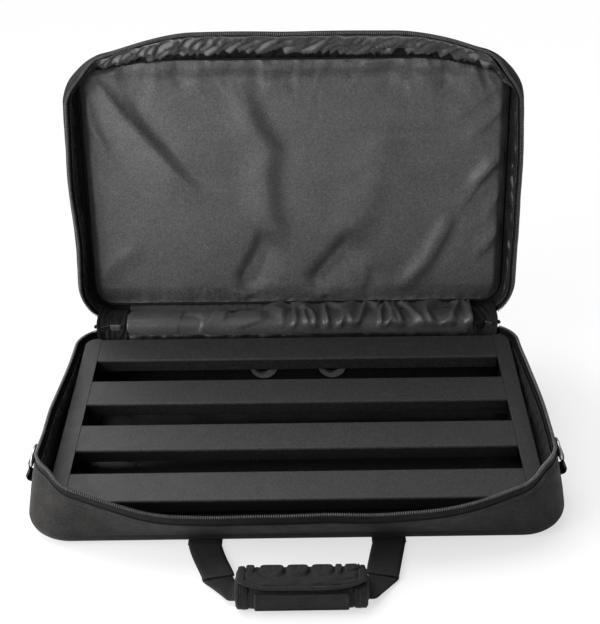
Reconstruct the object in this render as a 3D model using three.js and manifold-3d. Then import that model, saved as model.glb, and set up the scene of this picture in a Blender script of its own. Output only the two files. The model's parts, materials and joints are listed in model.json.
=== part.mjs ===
import * as THREE from 'three';
import { mergeVertices } from 'three/addons/utils/BufferGeometryUtils.js';
import Module from 'manifold-3d';

// Soft guitar pedal case, lying open with its pedalboard inside.
// Millimetres. The origin is the middle of the base's underside, +X right, +Y to the hinge, +Z up.
// The lid is modelled closed, then turned open about the hinge line.

// Pedalboard
const deckWidth = 610;
const deckDepth = 318;
const deckSlope = THREE.MathUtils.degToRad(9.49);
const deckFrontHeight = 36;
const railDepth = 50;
const railHeight = 19;
const railWall = 2.5;
const railEdge = 3;
const gapShares = [0.318, 0.326, 0.356];
const sideWidth = 22;
const sideCorner = 14;
const frameWall = 3;
const frameInset = 9;
const frameMargin = 9;
const flangeWidth = 20;
const portRadius = 17;
const portAt = 50;
const portMargin = 2.1;
const braceWall = 2.5;
const braceInset = 10.65;
const grommetLip = 3.6;
const grommetBore = 13.6;
const grommetSide = 2.2;
const deckFootRadius = 9;
const deckFootHeight = 3.2;
const deckFootInset = 24;
const deckReach = deckDepth * Math.cos(deckSlope);
const deckRise = deckDepth * Math.sin(deckSlope);

// Case, in plan and height, with the lid closed: it fits round the pedalboard
const sideRoom = 13;
const frontRoom = 31;
const backRoom = 31.35;
const rimHalfWidth = deckWidth / 2 + sideRoom;
const rimHalfDepth = (deckReach + frontRoom + backRoom) / 2;
const rimCorner = 54;
const footSpread = 12;
const footHalfWidth = rimHalfWidth + footSpread;
const footForward = 7;
const footFront = -rimHalfDepth - footForward;
const footCorner = 60;
const footRound = 16;
const zipRoom = 5.57;
const zipHeight = deckFrontHeight + deckRise + zipRoom;
const zipDip = 25;
const zipReach = 11;
const lidDepth = 54;
const caseHeight = zipHeight + lidDepth;
const frontFlare = 42;
const flareOver = 17;
const flareLength = 202;
const flareOuter = rimHalfWidth + flareOver;
const flareInner = flareOuter - flareLength;
const cornerDraw = 5;
const roundShare = 0.3;

// Padded walls and the boards inside them
const footWall = 9;
const rimWall = 5;
const floorThick = 5;
const boardSheet = 2.4;
const sheetInset = 14;
const liningThick = 1;
const fit = 0.3;
const lidThick = 6;
const lidRound = 14;
const lidBulge = 4;
const liningLapShare = 0.02;

// Lid lining
const panelSideInset = 15;
const panelFrontInset = 15;
const panelBackInset = 23;
const panelCorner = 37;
const foldDepth = 7;
const bindingWidth = 5;
const bindingThick = 2.2;
const bindingTopShare = 0.6;

// Hinge line and lid angle
const hingeOut = 1.5;
const openAngle = THREE.MathUtils.degToRad(98);
const gussetMargin = 6;
const gussetHalfWidth = rimHalfWidth - rimCorner - gussetMargin;
const gussetThick = 1.4;
const gussetLap = 9;
const gussetSteps = 12;
const gussetColumns = 18;

// Zip
const tapeThick = 1.2;
const chainWidth = 3;
const chainHeight = 2.7;
const sliderLength = 12;
const sliderWidth = 7;
const sliderHeight = 6;
const bridgeHeight = 3;
const bridgeThick = 2;
const pullLength = 15;
const pullWidth = 6;
const pullThick = 1.6;
const pullNeck = 4.2;
const pullWindow = 3;
const endTabWidth = 16;
const endTabHeight = 15;
const endTabThick = 2.4;
const sliderTurn = THREE.MathUtils.degToRad(69);

// Side tabs and their rings
const ringY = -102;
const ringDrop = 32;
const ringHeight = zipHeight - ringDrop;
const tabWidth = 25;
const tabTail = 26;
const tabLayer = 4;
const tabLoop = 4.6;
const tabNeck = 7.4;
const tabPinch = 0.4;
const tabClosing = THREE.MathUtils.degToRad(40);
const ringWire = 2;
const ringCorner = 3.2;
const ringPlay = 0.6;
const ringHalfWidth = 16.5;
const ringRise = 16;
const tabClear = 0.4;

// Handle
const strapWidth = 40;
const strapThick = 2;
const strapAt = 110;
const strapNeck = 84;
const strapEndDepth = 21;
const strapLiftShare = 0.55;
const anchorThick = 1.4;
const floorGap = 0.3;
const handleOut = 1.5;
const handleHingeY = footFront - handleOut;
const gripHalfLength = 73;
const gripReach = 94;
const gripHalfDepth = 22;
const gripHalfHeight = 16.5;
const gripRoundShare = 0.62;
const gripEndShare = 0.4;
const wrapThick = 5;
const coreOut = 1.2;
const coreTaper = 2.5;
const flapThick = 3.6;
const flapHalfLength = 71;
const flapStart = THREE.MathUtils.degToRad(62);
const flapEnd = THREE.MathUtils.degToRad(148);
const flapCurve = THREE.MathUtils.degToRad(20);
const flapGap = 0.6;
const padHalfLength = 50;
const padThick = 2.6;
const padStart = THREE.MathUtils.degToRad(156);
const padEnd = THREE.MathUtils.degToRad(208);

// Sides and steps of round shapes
const wireSides = 8;
const gripSides = 24;
const roundSides = 28;
const edgeSteps = 4;
const cornerSteps = 8;
const ringBowSteps = 14;

const overrun = 2;

const wasm = await Module();
wasm.setup();

const finishes = {
  shell: { color: '#34302e', roughness: 0.92, metalness: 0 },
  lining: { color: '#2b2a2a', roughness: 0.42, metalness: 0 },
  panel: { color: '#4c4b4b', roughness: 0.4, metalness: 0 },
  stiffener: { color: '#8a7a62', roughness: 0.8, metalness: 0 },
  trim: { color: '#1d1c1c', roughness: 0.8, metalness: 0 },
  zip: { color: '#2c2a29', roughness: 0.45, metalness: 0 },
  metal: { color: '#8b8b8d', roughness: 0.3, metalness: 1 },
  webbing: { color: '#262424', roughness: 0.88, metalness: 0 },
  grip: { color: '#2a2827', roughness: 0.75, metalness: 0 },
  deck: { color: '#343332', roughness: 0.5, metalness: 0.2 },
  rubber: { color: '#161616', roughness: 0.85, metalness: 0 },
};

function piece(name, geometry, finish) {
  const mesh = new THREE.Mesh(geometry, new THREE.MeshStandardMaterial(finishes[finish]));
  mesh.name = name;
  return mesh;
}

// A closed surface from loops of equal length; the ends are capped, or the last loop meets the first.
function skin(loops, capped) {
  const count = loops[0].length;
  const positions = loops.flatMap((loop) => loop.flatMap((p) => [p.x, p.y, p.z]));
  const index = [];
  const bands = capped ? loops.length - 1 : loops.length;
  for (let a = 0; a < bands; a += 1) {
    const b = (a + 1) % loops.length;
    for (let i = 0; i < count; i += 1) {
      const j = (i + 1) % count;
      index.push(a * count + i, a * count + j, b * count + j);
      index.push(a * count + i, b * count + j, b * count + i);
    }
  }
  if (capped) {
    for (const [loop, flip] of [[0, true], [loops.length - 1, false]]) {
      const centre = loops[loop].reduce((sum, p) => sum.add(p), new THREE.Vector3()).divideScalar(count);
      const hub = positions.length / 3;
      positions.push(centre.x, centre.y, centre.z);
      for (let i = 0; i < count; i += 1) {
        const j = (i + 1) % count;
        const pair = flip ? [j, i] : [i, j];
        index.push(hub, loop * count + pair[0], loop * count + pair[1]);
      }
    }
  }
  const geometry = new THREE.BufferGeometry();
  geometry.setAttribute('position', new THREE.Float32BufferAttribute(positions, 3));
  geometry.setIndex(volumeOf(positions, index) < 0 ? index.toReversed() : index);
  return geometry;
}

function volumeOf(positions, index) {
  const corner = (k) => new THREE.Vector3().fromArray(positions, index[k] * 3);
  let volume = 0;
  for (let k = 0; k < index.length; k += 3) {
    volume += corner(k).dot(corner(k + 1).cross(corner(k + 2)));
  }
  return volume;
}

function solidOf(geometry) {
  const bare = geometry.clone();
  bare.deleteAttribute('normal');
  bare.deleteAttribute('uv');
  const merged = mergeVertices(bare);
  return new wasm.Manifold(new wasm.Mesh({
    numProp: 3,
    vertProperties: new Float32Array(merged.attributes.position.array),
    triVerts: new Uint32Array(merged.index.array),
  }));
}

function geometryOf(solid) {
  const mesh = solid.getMesh();
  const geometry = new THREE.BufferGeometry();
  geometry.setAttribute('position', new THREE.Float32BufferAttribute(mesh.vertProperties, 3));
  geometry.setIndex(new THREE.BufferAttribute(mesh.triVerts, 1));
  return geometry;
}

// A shape drawn in Y and Z, extruded along X from the given place.
function alongX(shape, start, length) {
  const settings = { depth: length, bevelEnabled: false, curveSegments: edgeSteps };
  const geometry = new THREE.ExtrudeGeometry(shape, settings);
  return geometry.translate(0, 0, start).rotateY(Math.PI / 2).rotateX(Math.PI / 2);
}

function block(x, y, z) {
  const geometry = new THREE.BoxGeometry(x[1] - x[0], y[1] - y[0], z[1] - z[0]);
  return geometry.translate((x[0] + x[1]) / 2, (y[0] + y[1]) / 2, (z[0] + z[1]) / 2);
}

// Stations round a rounded rectangle, from the middle of the back, by the left, the front and the right.
const planBackSteps = 2;
const planCornerSteps = 6;
const planSideSteps = 4;
const planFrontSteps = 20;

function planOutline(halfWidth, front, back, corner) {
  const stations = [];
  const add = (x, y, angle) => stations.push({ x, y, nx: Math.cos(angle), ny: Math.sin(angle) });
  const run = (from, to, count, angle) => {
    for (let k = 0; k < count; k += 1) {
      add(from[0] + ((to[0] - from[0]) * k) / count, from[1] + ((to[1] - from[1]) * k) / count, angle);
    }
  };
  const turn = (cx, cy, start) => {
    for (let k = 0; k < planCornerSteps; k += 1) {
      const angle = start + (Math.PI / 2) * (k / planCornerSteps);
      add(cx + corner * Math.cos(angle), cy + corner * Math.sin(angle), angle);
    }
  };
  const w = halfWidth - corner;
  run([0, back], [-w, back], planBackSteps, Math.PI / 2);
  turn(-w, back - corner, Math.PI / 2);
  run([-halfWidth, back - corner], [-halfWidth, front + corner], planSideSteps, Math.PI);
  turn(-w, front + corner, Math.PI);
  run([-w, front], [w, front], planFrontSteps, Math.PI * 1.5);
  turn(w, front + corner, Math.PI * 1.5);
  run([halfWidth, front + corner], [halfWidth, back - corner], planSideSteps, 0);
  turn(w, back - corner, 0);
  run([w, back], [0, back], planBackSteps, Math.PI / 2);
  return stations;
}

const rimPlan = planOutline(rimHalfWidth, -rimHalfDepth, rimHalfDepth, rimCorner);
const footPlan = planOutline(footHalfWidth, footFront, rimHalfDepth, footCorner);
const stationTotal = rimPlan.length;

const smooth = (share) => {
  const t = THREE.MathUtils.clamp(share, 0, 1);
  return t * t * (3 - 2 * t);
};

// How far a station faces the front: none at a side, all of it past the corner.
const frontShare = (s) => smooth((-s.ny - Math.SQRT1_2) / (1 - Math.SQRT1_2));
const facesBack = (s) => s.ny > 1 - Number.EPSILON;

// The share of the front's outward lean at a station: all of it along the middle, none past the corners.
function flareShare(s) {
  return frontShare(s) * smooth((flareOuter - Math.abs(s.x)) / (flareOuter - flareInner));
}

// How far the two front corners are drawn in.
const drawShare = (s) => (s.ny < 0 ? Math.abs(s.nx * s.ny) * 2 : 0);

const hingeY = rimHalfDepth + hingeOut;
const zipLine = rimPlan.map((s) => zipHeight - zipDip * flareShare(s));

function rimPoint(i, inset, z) {
  const s = rimPlan[i];
  const out = -inset - cornerDraw * drawShare(s);
  return new THREE.Vector3(s.x + s.nx * out, s.y + s.ny * out - frontFlare * flareShare(s), z);
}

function footPoint(i, inset, z) {
  const s = footPlan[i];
  return new THREE.Vector3(s.x - s.nx * inset, s.y - s.ny * inset, z);
}

const ring = (point) => Array.from({ length: stationTotal }, (_, i) => point(i));

// A point on the base's wall, a share of the way up from its foot to its rim.
function basePoint(i, share, inset) {
  return footPoint(i, inset, footRound).lerp(rimPoint(i, inset, zipLine[i] - zipReach), share);
}

const wallShares = [0.3, 0.65];

function trayRings(outerInset, floorZ, topInset, topShare) {
  const wallAt = (share) => THREE.MathUtils.lerp(outerInset, topInset, share);
  const corner = footRound - floorZ;
  const rings = [];
  rings.push(ring((i) => footPoint(i, outerInset + corner, floorZ)));
  rings.push(ring((i) => footPoint(i, outerInset + corner * roundShare, floorZ + corner * roundShare)));
  rings.push(ring((i) => footPoint(i, outerInset, footRound)));
  for (const share of [...wallShares, topShare]) {
    rings.push(ring((i) => basePoint(i, share, wallAt(share))));
  }
  return rings;
}

function baseShell() {
  const outer = trayRings(0, 0, 0, 1);
  const inner = trayRings(footWall, floorThick, rimWall, 1).reverse();
  return skin([...outer, ...inner], true);
}

const liningFloor = floorThick + boardSheet + 2 * fit;

function baseLining() {
  const top = 1 - liningLapShare;
  const outer = trayRings(footWall + fit, liningFloor, rimWall + fit, top);
  const lift = liningFloor + liningThick;
  const inner = trayRings(footWall + fit + liningThick, lift, rimWall + fit + liningThick, top);
  return skin([...inner, ...outer.reverse()], true);
}

function floorSheet(plan, inset, low) {
  const at = (z) => plan.map((s) => new THREE.Vector3(s.x - s.nx * inset, s.y - s.ny * inset, z));
  return skin([at(low), at(low + boardSheet)], true);
}

// Lid, closed
const lidWall = 7;
const ceiling = caseHeight - lidThick;

function lidTop(i, inset, z) {
  const s = rimPlan[i];
  return new THREE.Vector3(s.x - s.nx * inset, s.y - s.ny * inset, z);
}

function lidWallPoint(i, share, inset) {
  const s = rimPlan[i];
  const bulge = facesBack(s) ? 0 : lidBulge * Math.sin(Math.PI * share);
  const low = rimPoint(i, inset - bulge, zipLine[i] + zipReach);
  return low.lerp(lidTop(i, inset - bulge, caseHeight - lidRound), share);
}

function lidRings(rimInset, wallInset, topZ) {
  const corner = topZ - (caseHeight - lidRound);
  const rings = [];
  rings.push(ring((i) => lidTop(i, wallInset + corner, topZ)));
  rings.push(ring((i) => lidTop(i, wallInset + corner * roundShare, topZ - corner * roundShare)));
  rings.push(ring((i) => lidWallPoint(i, 1, wallInset)));
  rings.push(ring((i) => lidWallPoint(i, 0.5, (wallInset + rimInset) / 2)));
  rings.push(ring((i) => lidWallPoint(i, 0, rimInset)));
  return rings;
}

function lidShell() {
  return skin([...lidRings(0, 0, caseHeight), ...lidRings(rimWall, lidWall, ceiling).reverse()], true);
}

const panelFront = -rimHalfDepth + panelFrontInset;
const panelBack = rimHalfDepth - panelBackInset;
const panelHalfWidth = rimHalfWidth - panelSideInset;
const panelPlan = planOutline(panelHalfWidth, panelFront, panelBack, panelCorner);
const panelTop = ceiling - boardSheet - 2 * fit;

function lidWallLining() {
  const side = (layer) => {
    const edge = (i) => {
      const s = panelPlan[i];
      return new THREE.Vector3(s.x + s.nx * fit, s.y + s.ny * fit, panelTop - fit - layer);
    };
    const middle = (lidWall + rimWall) / 2 + fit + layer;
    return [
      ring((i) => lidWallPoint(i, liningLapShare, rimWall + fit + layer)),
      ring((i) => lidWallPoint(i, 0.5, middle)),
      ring((i) => lidWallPoint(i, 1, lidWall + fit + layer)),
      ring((i) => lidTop(i, lidWall + lidRound / 4 + layer, panelTop - fit - layer)),
      ring(edge),
    ];
  };
  return skin([...side(0), ...side(liningThick).reverse()], false);
}

// Folds of the lid lining: a line from one place to another in shares of the panel, its half width and rise.
const foldShares = [
  [0.03, 0.05, 0.27, 0.46, 0.022, 0.8],
  [0.05, 0.16, 0.1, 0.5, 0.02, 0.4],
  [0.4, 0.05, 0.43, 0.36, 0.03, -0.5],
  [0.43, 0.36, 0.49, 0.86, 0.03, 0.6],
  [0.43, 0.75, 0.38, 0.97, 0.02, 0.8],
  [0.64, 0.74, 0.56, 0.97, 0.02, 0.8],
  [0.72, 0.35, 0.58, 0.85, 0.04, 0.6],
  [0.87, 0.56, 0.74, 0.96, 0.022, 1],
  [0.99, 0.33, 0.87, 0.52, 0.025, -0.6],
  [0.97, 0.1, 0.84, 0.3, 0.025, 0.5],
];

const foldTaperShare = 0.15;
const foldFadeShare = 1 / 6;

function foldHeight(u, v) {
  const aspect = (panelBack - panelFront) / (2 * panelHalfWidth);
  let height = 0;
  for (const [u0, v0, u1, v1, halfShare, riseShare] of foldShares) {
    const along = new THREE.Vector2(u1 - u0, (v1 - v0) * aspect);
    const here = new THREE.Vector2(u - u0, (v - v0) * aspect);
    const t = THREE.MathUtils.clamp(here.dot(along) / along.lengthSq(), 0, 1);
    const away = here.sub(along.multiplyScalar(t)).length() / halfShare;
    const place = foldTaperShare + (1 - 2 * foldTaperShare) * t;
    height += riseShare * Math.exp(-away * away) * Math.sin(Math.PI * place);
  }
  return height;
}

// The lining panel: a thin sheet of rings that shrink to the middle, pushed down into its folds.
function liningPanel() {
  const shrinkShares = [1, 0.94, 0.84, 0.71, 0.57, 0.42, 0.26, 0.1];
  const midY = (panelFront + panelBack) / 2;
  const point = (s, shrink, z) => {
    const x = s.x * shrink;
    const y = midY + (s.y - midY) * shrink;
    const u = (x + panelHalfWidth) / (2 * panelHalfWidth);
    const v = (y - panelFront) / (panelBack - panelFront);
    const rise = foldDepth * foldHeight(u, v) * smooth((1 - shrink) / foldFadeShare);
    return new THREE.Vector3(x, y, z - Math.max(rise, -fit / 2));
  };
  const sheet = (z) => shrinkShares.map((share) => panelPlan.map((s) => point(s, share, z)));
  return skin([...sheet(panelTop).reverse(), ...sheet(panelTop - liningThick)], true);
}

function panelBinding() {
  const high = panelTop - liningThick - 2 * fit;
  const sections = panelPlan.map((s) => {
    const at = (grow, z) => new THREE.Vector3(s.x + s.nx * grow, s.y + s.ny * grow, z);
    const half = bindingWidth / 2;
    const top = half * bindingTopShare;
    return [at(-half, high), at(half, high), at(top, high - bindingThick), at(-top, high - bindingThick)];
  });
  return skin(sections, false);
}

// Zip: the stations that the zip covers, from one back corner round the front to the other
const tapeFirst = planBackSteps;
const chainFirst = tapeFirst + 2;

function zipStrip(first, inset, thick, low, high) {
  const stations = Array.from({ length: stationTotal - 2 * first + 1 }, (_, k) => first + k);
  return skin(stations.map((i) => [
    rimPoint(i, inset - thick / 2, low(i)),
    rimPoint(i, inset + thick / 2, low(i)),
    rimPoint(i, inset + thick / 2, high(i)),
    rimPoint(i, inset - thick / 2, high(i)),
  ]), true);
}

const chainGap = fit;
const tapeStart = zipReach - fit;
const tapeEnd = chainGap + chainHeight + fit;
const zipInset = rimWall / 2;

function zipSide(sign) {
  const level = (away) => (i) => zipLine[i] + sign * away;
  return {
    tape: zipStrip(tapeFirst, zipInset, tapeThick, level(tapeStart), level(tapeEnd)),
    teeth: zipStrip(chainFirst, zipInset, chainWidth, level(chainGap + chainHeight), level(chainGap)),
  };
}

// Slider and pull at one back corner, in a frame whose +X points out of the wall and +Y along the zip
function sliderFrame(side) {
  const cx = rimHalfWidth - rimCorner;
  const radius = rimCorner - zipInset;
  const group = new THREE.Group();
  const out = side < 0 ? Math.PI - sliderTurn : sliderTurn;
  group.position.set(
    side * cx + radius * Math.cos(out),
    rimHalfDepth - rimCorner + radius * Math.sin(out),
    zipHeight,
  );
  group.rotation.z = out;
  return group;
}

function slider() {
  const half = sliderWidth / 2;
  const along = (divisor) => [-sliderLength / divisor, sliderLength / divisor];
  const body = block([-half, half], along(2), [-sliderHeight / 2, sliderHeight / 2]);
  const bridgeOut = half + bridgeHeight;
  const window = bridgeHeight - ringPlay;
  const bridgeHalf = bridgeThick / 2;
  const bridge = block([half - overrun, bridgeOut], along(3), [-bridgeHalf, bridgeHalf]);
  const slot = block([half, half + window], along(5), [-overrun, overrun]);
  return geometryOf(solidOf(body).add(solidOf(bridge)).subtract(solidOf(slot)));
}

function zipPull(side) {
  const start = sliderWidth / 2 + bridgeHeight + fit;
  const outline = new THREE.Shape();
  const half = pullWidth / 2;
  outline.moveTo(0, -pullNeck / 2);
  outline.lineTo(pullLength - half, -half);
  outline.absarc(pullLength - half, 0, half, -Math.PI / 2, Math.PI / 2, false);
  outline.lineTo(0, pullNeck / 2);
  const hole = new THREE.Path();
  hole.absarc(pullLength - 2 * half, 0, pullWindow / 2, 0, Math.PI * 2, true);
  outline.holes.push(hole);
  const settings = { depth: pullThick, bevelEnabled: false, curveSegments: cornerSteps };
  const geometry = new THREE.ExtrudeGeometry(outline, settings);
  geometry.rotateX(Math.PI / 2);
  geometry.rotateZ((-side * Math.PI) / 2);
  return geometry.translate(side < 0 ? start : start + pullThick, 0, 0);
}

// Side tab and ring, in a frame whose +X points out of the wall, +Y to one side and +Z up
function sideTab() {
  const profile = new THREE.Shape();
  const centre = tabLoop + tabClear;
  profile.absarc(centre, 0, tabLoop, -tabClosing, Math.PI + tabClosing, false);
  profile.lineTo(tabClear + tabPinch, -tabNeck);
  profile.lineTo(tabClear, -tabTail);
  profile.lineTo(tabClear + tabLayer, -tabTail);
  profile.lineTo(tabClear + tabLayer + 2 * tabPinch, -tabNeck);
  const bore = new THREE.Path();
  bore.absarc(centre, 0, ringWire + ringPlay, 0, Math.PI * 2, true);
  profile.holes.push(bore);
  const settings = { depth: tabWidth, bevelEnabled: false, curveSegments: roundSides / 2 };
  const geometry = new THREE.ExtrudeGeometry(profile, settings);
  return geometry.rotateX(Math.PI / 2).translate(0, tabWidth / 2, 0);
}

function sideRing() {
  const centre = tabLoop + tabClear;
  const path = [];
  const corner = (y, from, to) => {
    for (let k = 0; k < edgeSteps; k += 1) {
      const angle = THREE.MathUtils.lerp(from, to, k / (edgeSteps - 1));
      path.push({ y: y + ringCorner * Math.cos(angle), z: ringCorner + ringCorner * Math.sin(angle) });
    }
  };
  corner(ringHalfWidth - ringCorner, -Math.PI / 2, 0);
  for (let k = 1; k < ringBowSteps; k += 1) {
    const angle = (Math.PI * k) / ringBowSteps;
    const rise = (ringRise - ringCorner) * Math.sin(angle);
    path.push({ y: ringHalfWidth * Math.cos(angle), z: ringCorner + rise });
  }
  corner(-ringHalfWidth + ringCorner, Math.PI, Math.PI * 1.5);
  const sections = path.map((p, k) => {
    const before = path[(k + path.length - 1) % path.length];
    const after = path[(k + 1) % path.length];
    const tangent = new THREE.Vector2(after.y - before.y, after.z - before.z).normalize();
    return Array.from({ length: wireSides }, (_, m) => {
      const angle = (Math.PI * 2 * m) / wireSides;
      const away = ringWire * Math.cos(angle);
      return new THREE.Vector3(
        centre + ringWire * Math.sin(angle),
        p.y + tangent.y * away,
        p.z - tangent.x * away,
      );
    });
  });
  return skin(sections, false);
}

// One strap: it lies on the floor by the case, narrows inwards and rises to the end of the grip.
function strap(side) {
  const startY = handleHingeY - fit;
  const endX = gripHalfLength + coreOut + fit;
  const lift = gripHalfHeight * strapLiftShare;
  const half = strapWidth / 2;
  const across = (share) => strapAt - half * share;
  const foldX = endX + strapThick;
  const endHalf = strapEndDepth / 2;
  const sections = [
    { outer: [across(-1), 0], inner: [across(1), 0], rise: 0 },
    { outer: [across(-0.62), strapNeck * 0.38], inner: [across(1.4), strapNeck * 0.36], rise: 0 },
    { outer: [across(-0.06), strapNeck * 0.76], inner: [across(1.7), strapNeck * 0.67], rise: lift * 0.1 },
    { outer: [across(1.1), gripReach * 0.92], inner: [foldX, strapNeck * 0.86], rise: lift * 0.5 },
    { outer: [endX, gripReach + endHalf], inner: [endX, gripReach - endHalf], rise: lift },
  ];
  return skin(sections.map(({ outer, inner, rise }) => {
    const low = floorGap + rise;
    return [
      new THREE.Vector3(side * outer[0], startY - outer[1], low),
      new THREE.Vector3(side * inner[0], startY - inner[1], low),
      new THREE.Vector3(side * inner[0], startY - inner[1], low + strapThick),
      new THREE.Vector3(side * outer[0], startY - outer[1], low + strapThick),
    ];
  }), true);
}

const gripY = handleHingeY - gripReach;
const gripZ = gripHalfHeight + floorGap;

// A point over the grip's section at an angle from the case's side round the top to the front.
function overGrip(x, angle, grow) {
  const c = Math.cos(angle);
  const s = Math.sin(angle);
  return new THREE.Vector3(
    x,
    gripY + (gripHalfDepth + grow) * Math.sign(c) * Math.abs(c) ** gripRoundShare,
    gripZ + (gripHalfHeight + grow) * Math.sign(s) * Math.abs(s) ** gripRoundShare,
  );
}

function gripRing(x, grow) {
  return Array.from({ length: gripSides }, (_, k) => overGrip(x, (Math.PI * 2 * k) / gripSides, grow));
}

function gripWrap() {
  const end = gripHalfLength;
  return skin([
    gripRing(-end, -wrapThick * gripEndShare),
    gripRing(-end + wrapThick, 0),
    gripRing(end - wrapThick, 0),
    gripRing(end, -wrapThick * gripEndShare),
    gripRing(end, -wrapThick),
    gripRing(-end, -wrapThick),
  ], false);
}

function gripCore() {
  const end = gripHalfLength + coreOut;
  return skin([
    gripRing(-end, -wrapThick - coreTaper),
    gripRing(-end + wrapThick, -wrapThick - fit),
    gripRing(end - wrapThick, -wrapThick - fit),
    gripRing(end, -wrapThick - coreTaper),
  ], true);
}

// A padded plate laid over the wrap; its lower edge draws up by the curve towards both ends.
function curvedPlate({ halfLength, start, end, thick, curve, steps, columns }) {
  const sections = Array.from({ length: columns + 1 }, (_, c) => {
    const share = (c / columns) * 2 - 1;
    const stop = end - curve * share ** 4;
    const at = (k, grow) => overGrip(halfLength * share, THREE.MathUtils.lerp(start, stop, k / steps), grow);
    const under = Array.from({ length: steps + 1 }, (_, k) => at(k, flapGap));
    const over = Array.from({ length: steps + 1 }, (_, k) => at(steps - k, flapGap + thick));
    return [...under, ...over];
  });
  return skin(sections, true);
}

const flapPlate = {
  halfLength: flapHalfLength,
  start: flapStart,
  end: flapEnd,
  thick: flapThick,
  curve: flapCurve,
  steps: 9,
  columns: 12,
};
const padPlate = {
  halfLength: padHalfLength,
  start: padStart,
  end: padEnd,
  thick: padThick,
  curve: 0,
  steps: 6,
  columns: 4,
};

// The strap's sewn end under the front seam: its back edge meets the rounded foot of the case.
function handleAnchor(side) {
  const top = floorGap + anchorThick;
  const slope = (1 - roundShare) / roundShare;
  const inset = footRound - top * slope - fit * Math.hypot(1, slope);
  const x = [side * strapAt - strapWidth / 2, side * strapAt + strapWidth / 2];
  return block(x, [handleHingeY + fit, footFront + inset], [floorGap, top]);
}

// Pedalboard
function crossRail() {
  const half = (deckWidth - 2 * sideWidth) / 2 - fit;
  const w = railWall;
  const outline = new THREE.Shape();
  outline.moveTo(0, -railHeight);
  outline.lineTo(0, -railEdge);
  outline.absarc(railEdge, -railEdge, railEdge, Math.PI, Math.PI / 2, true);
  outline.lineTo(railDepth - railEdge, 0);
  outline.absarc(railDepth - railEdge, -railEdge, railEdge, Math.PI / 2, 0, true);
  outline.lineTo(railDepth, -railHeight);
  outline.lineTo(railDepth - w, -railHeight);
  outline.lineTo(railDepth - w, -railEdge);
  outline.lineTo(railDepth - railEdge, -w);
  outline.lineTo(railEdge, -w);
  outline.lineTo(w, -railEdge);
  outline.lineTo(w, -railHeight);
  return alongX(outline, -half, 2 * half);
}

function sideRail(side) {
  const shape = new THREE.Shape();
  shape.moveTo(0, 0);
  shape.lineTo(sideWidth - sideCorner, 0);
  shape.absarc(sideWidth - sideCorner, sideCorner, sideCorner, -Math.PI / 2, 0, false);
  shape.lineTo(sideWidth, deckDepth - sideCorner);
  shape.absarc(sideWidth - sideCorner, deckDepth - sideCorner, sideCorner, 0, Math.PI / 2, false);
  shape.lineTo(0, deckDepth);
  const settings = { depth: railHeight, bevelEnabled: false, curveSegments: cornerSteps };
  const bar = new THREE.ExtrudeGeometry(shape, settings);
  bar.translate(0, 0, -railHeight);
  const pocket = block(
    [-overrun, sideWidth - railWall],
    [sideCorner, deckDepth - sideCorner],
    [-railHeight - overrun, -railWall],
  );
  const geometry = geometryOf(solidOf(bar).subtract(solidOf(pocket)));
  if (side < 0) {
    geometry.translate(0, -deckDepth / 2, 0).rotateZ(Math.PI).translate(0, deckDepth / 2, 0);
  }
  return geometry.translate(side * (deckWidth / 2 - sideWidth), 0, 0);
}

const deckFrontY = -rimHalfDepth + frontRoom;
const deckBackY = deckFrontY + deckReach;
const braceY = deckBackY - braceInset;
const deckZ = (y) => deckFrontHeight + (y - deckFrontY) * Math.tan(deckSlope);
const underDeck = railHeight / Math.cos(deckSlope) + fit;
const braceTop = deckZ(braceY) - underDeck;
const portHeight = braceTop - portRadius - portMargin;
const deckFloor = liningFloor + liningThick + fit + deckFootHeight + fit;

function sideFrame(side) {
  const front = deckFrontY + frameMargin;
  const back = deckBackY - frameMargin;
  const outline = new THREE.Shape([
    new THREE.Vector2(front, deckFloor),
    new THREE.Vector2(back, deckFloor),
    new THREE.Vector2(back, deckZ(back) - underDeck),
    new THREE.Vector2(front, deckZ(front) - underDeck),
  ]);
  const outer = deckWidth / 2 - frameInset;
  const sheet = alongX(outline, outer - frameWall, frameWall);
  const flange = block([outer - flangeWidth, outer], [front, back], [deckFloor, deckFloor + frameWall]);
  const geometry = geometryOf(solidOf(sheet).add(solidOf(flange)));
  if (side < 0) {
    geometry.scale(-1, 1, 1);
    geometry.setIndex([...geometry.index.array].toReversed());
  }
  return geometry;
}

function rearBrace() {
  const half = deckWidth / 2 - frameInset - frameWall - fit;
  const flangeTop = deckFloor + frameWall + fit;
  const notch = half - (flangeWidth - frameWall) - fit;
  const shape = new THREE.Shape();
  shape.moveTo(-notch, deckFloor);
  shape.lineTo(notch, deckFloor);
  shape.lineTo(notch, flangeTop);
  shape.lineTo(half, flangeTop);
  shape.lineTo(half, braceTop);
  shape.lineTo(-half, braceTop);
  shape.lineTo(-half, flangeTop);
  shape.lineTo(-notch, flangeTop);
  for (const x of [-portAt, portAt]) {
    const port = new THREE.Path();
    port.absarc(x, portHeight, portRadius, 0, Math.PI * 2, true);
    shape.holes.push(port);
  }
  const settings = { depth: braceWall, bevelEnabled: false, curveSegments: roundSides };
  const geometry = new THREE.ExtrudeGeometry(shape, settings);
  return geometry.rotateX(Math.PI / 2).translate(0, braceY + braceWall, 0);
}

function grommet() {
  const side = braceWall / 2 + fit;
  const outer = portRadius + grommetLip;
  const waist = portRadius - fit;
  const profile = [
    [grommetBore, -side - grommetSide], [outer, -side - grommetSide], [outer, -side], [waist, -side],
    [waist, side], [outer, side], [outer, side + grommetSide], [grommetBore, side + grommetSide],
    [grommetBore, -side - grommetSide],
  ].map(([r, h]) => new THREE.Vector2(r, h));
  return new THREE.LatheGeometry(profile, roundSides);
}

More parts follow.
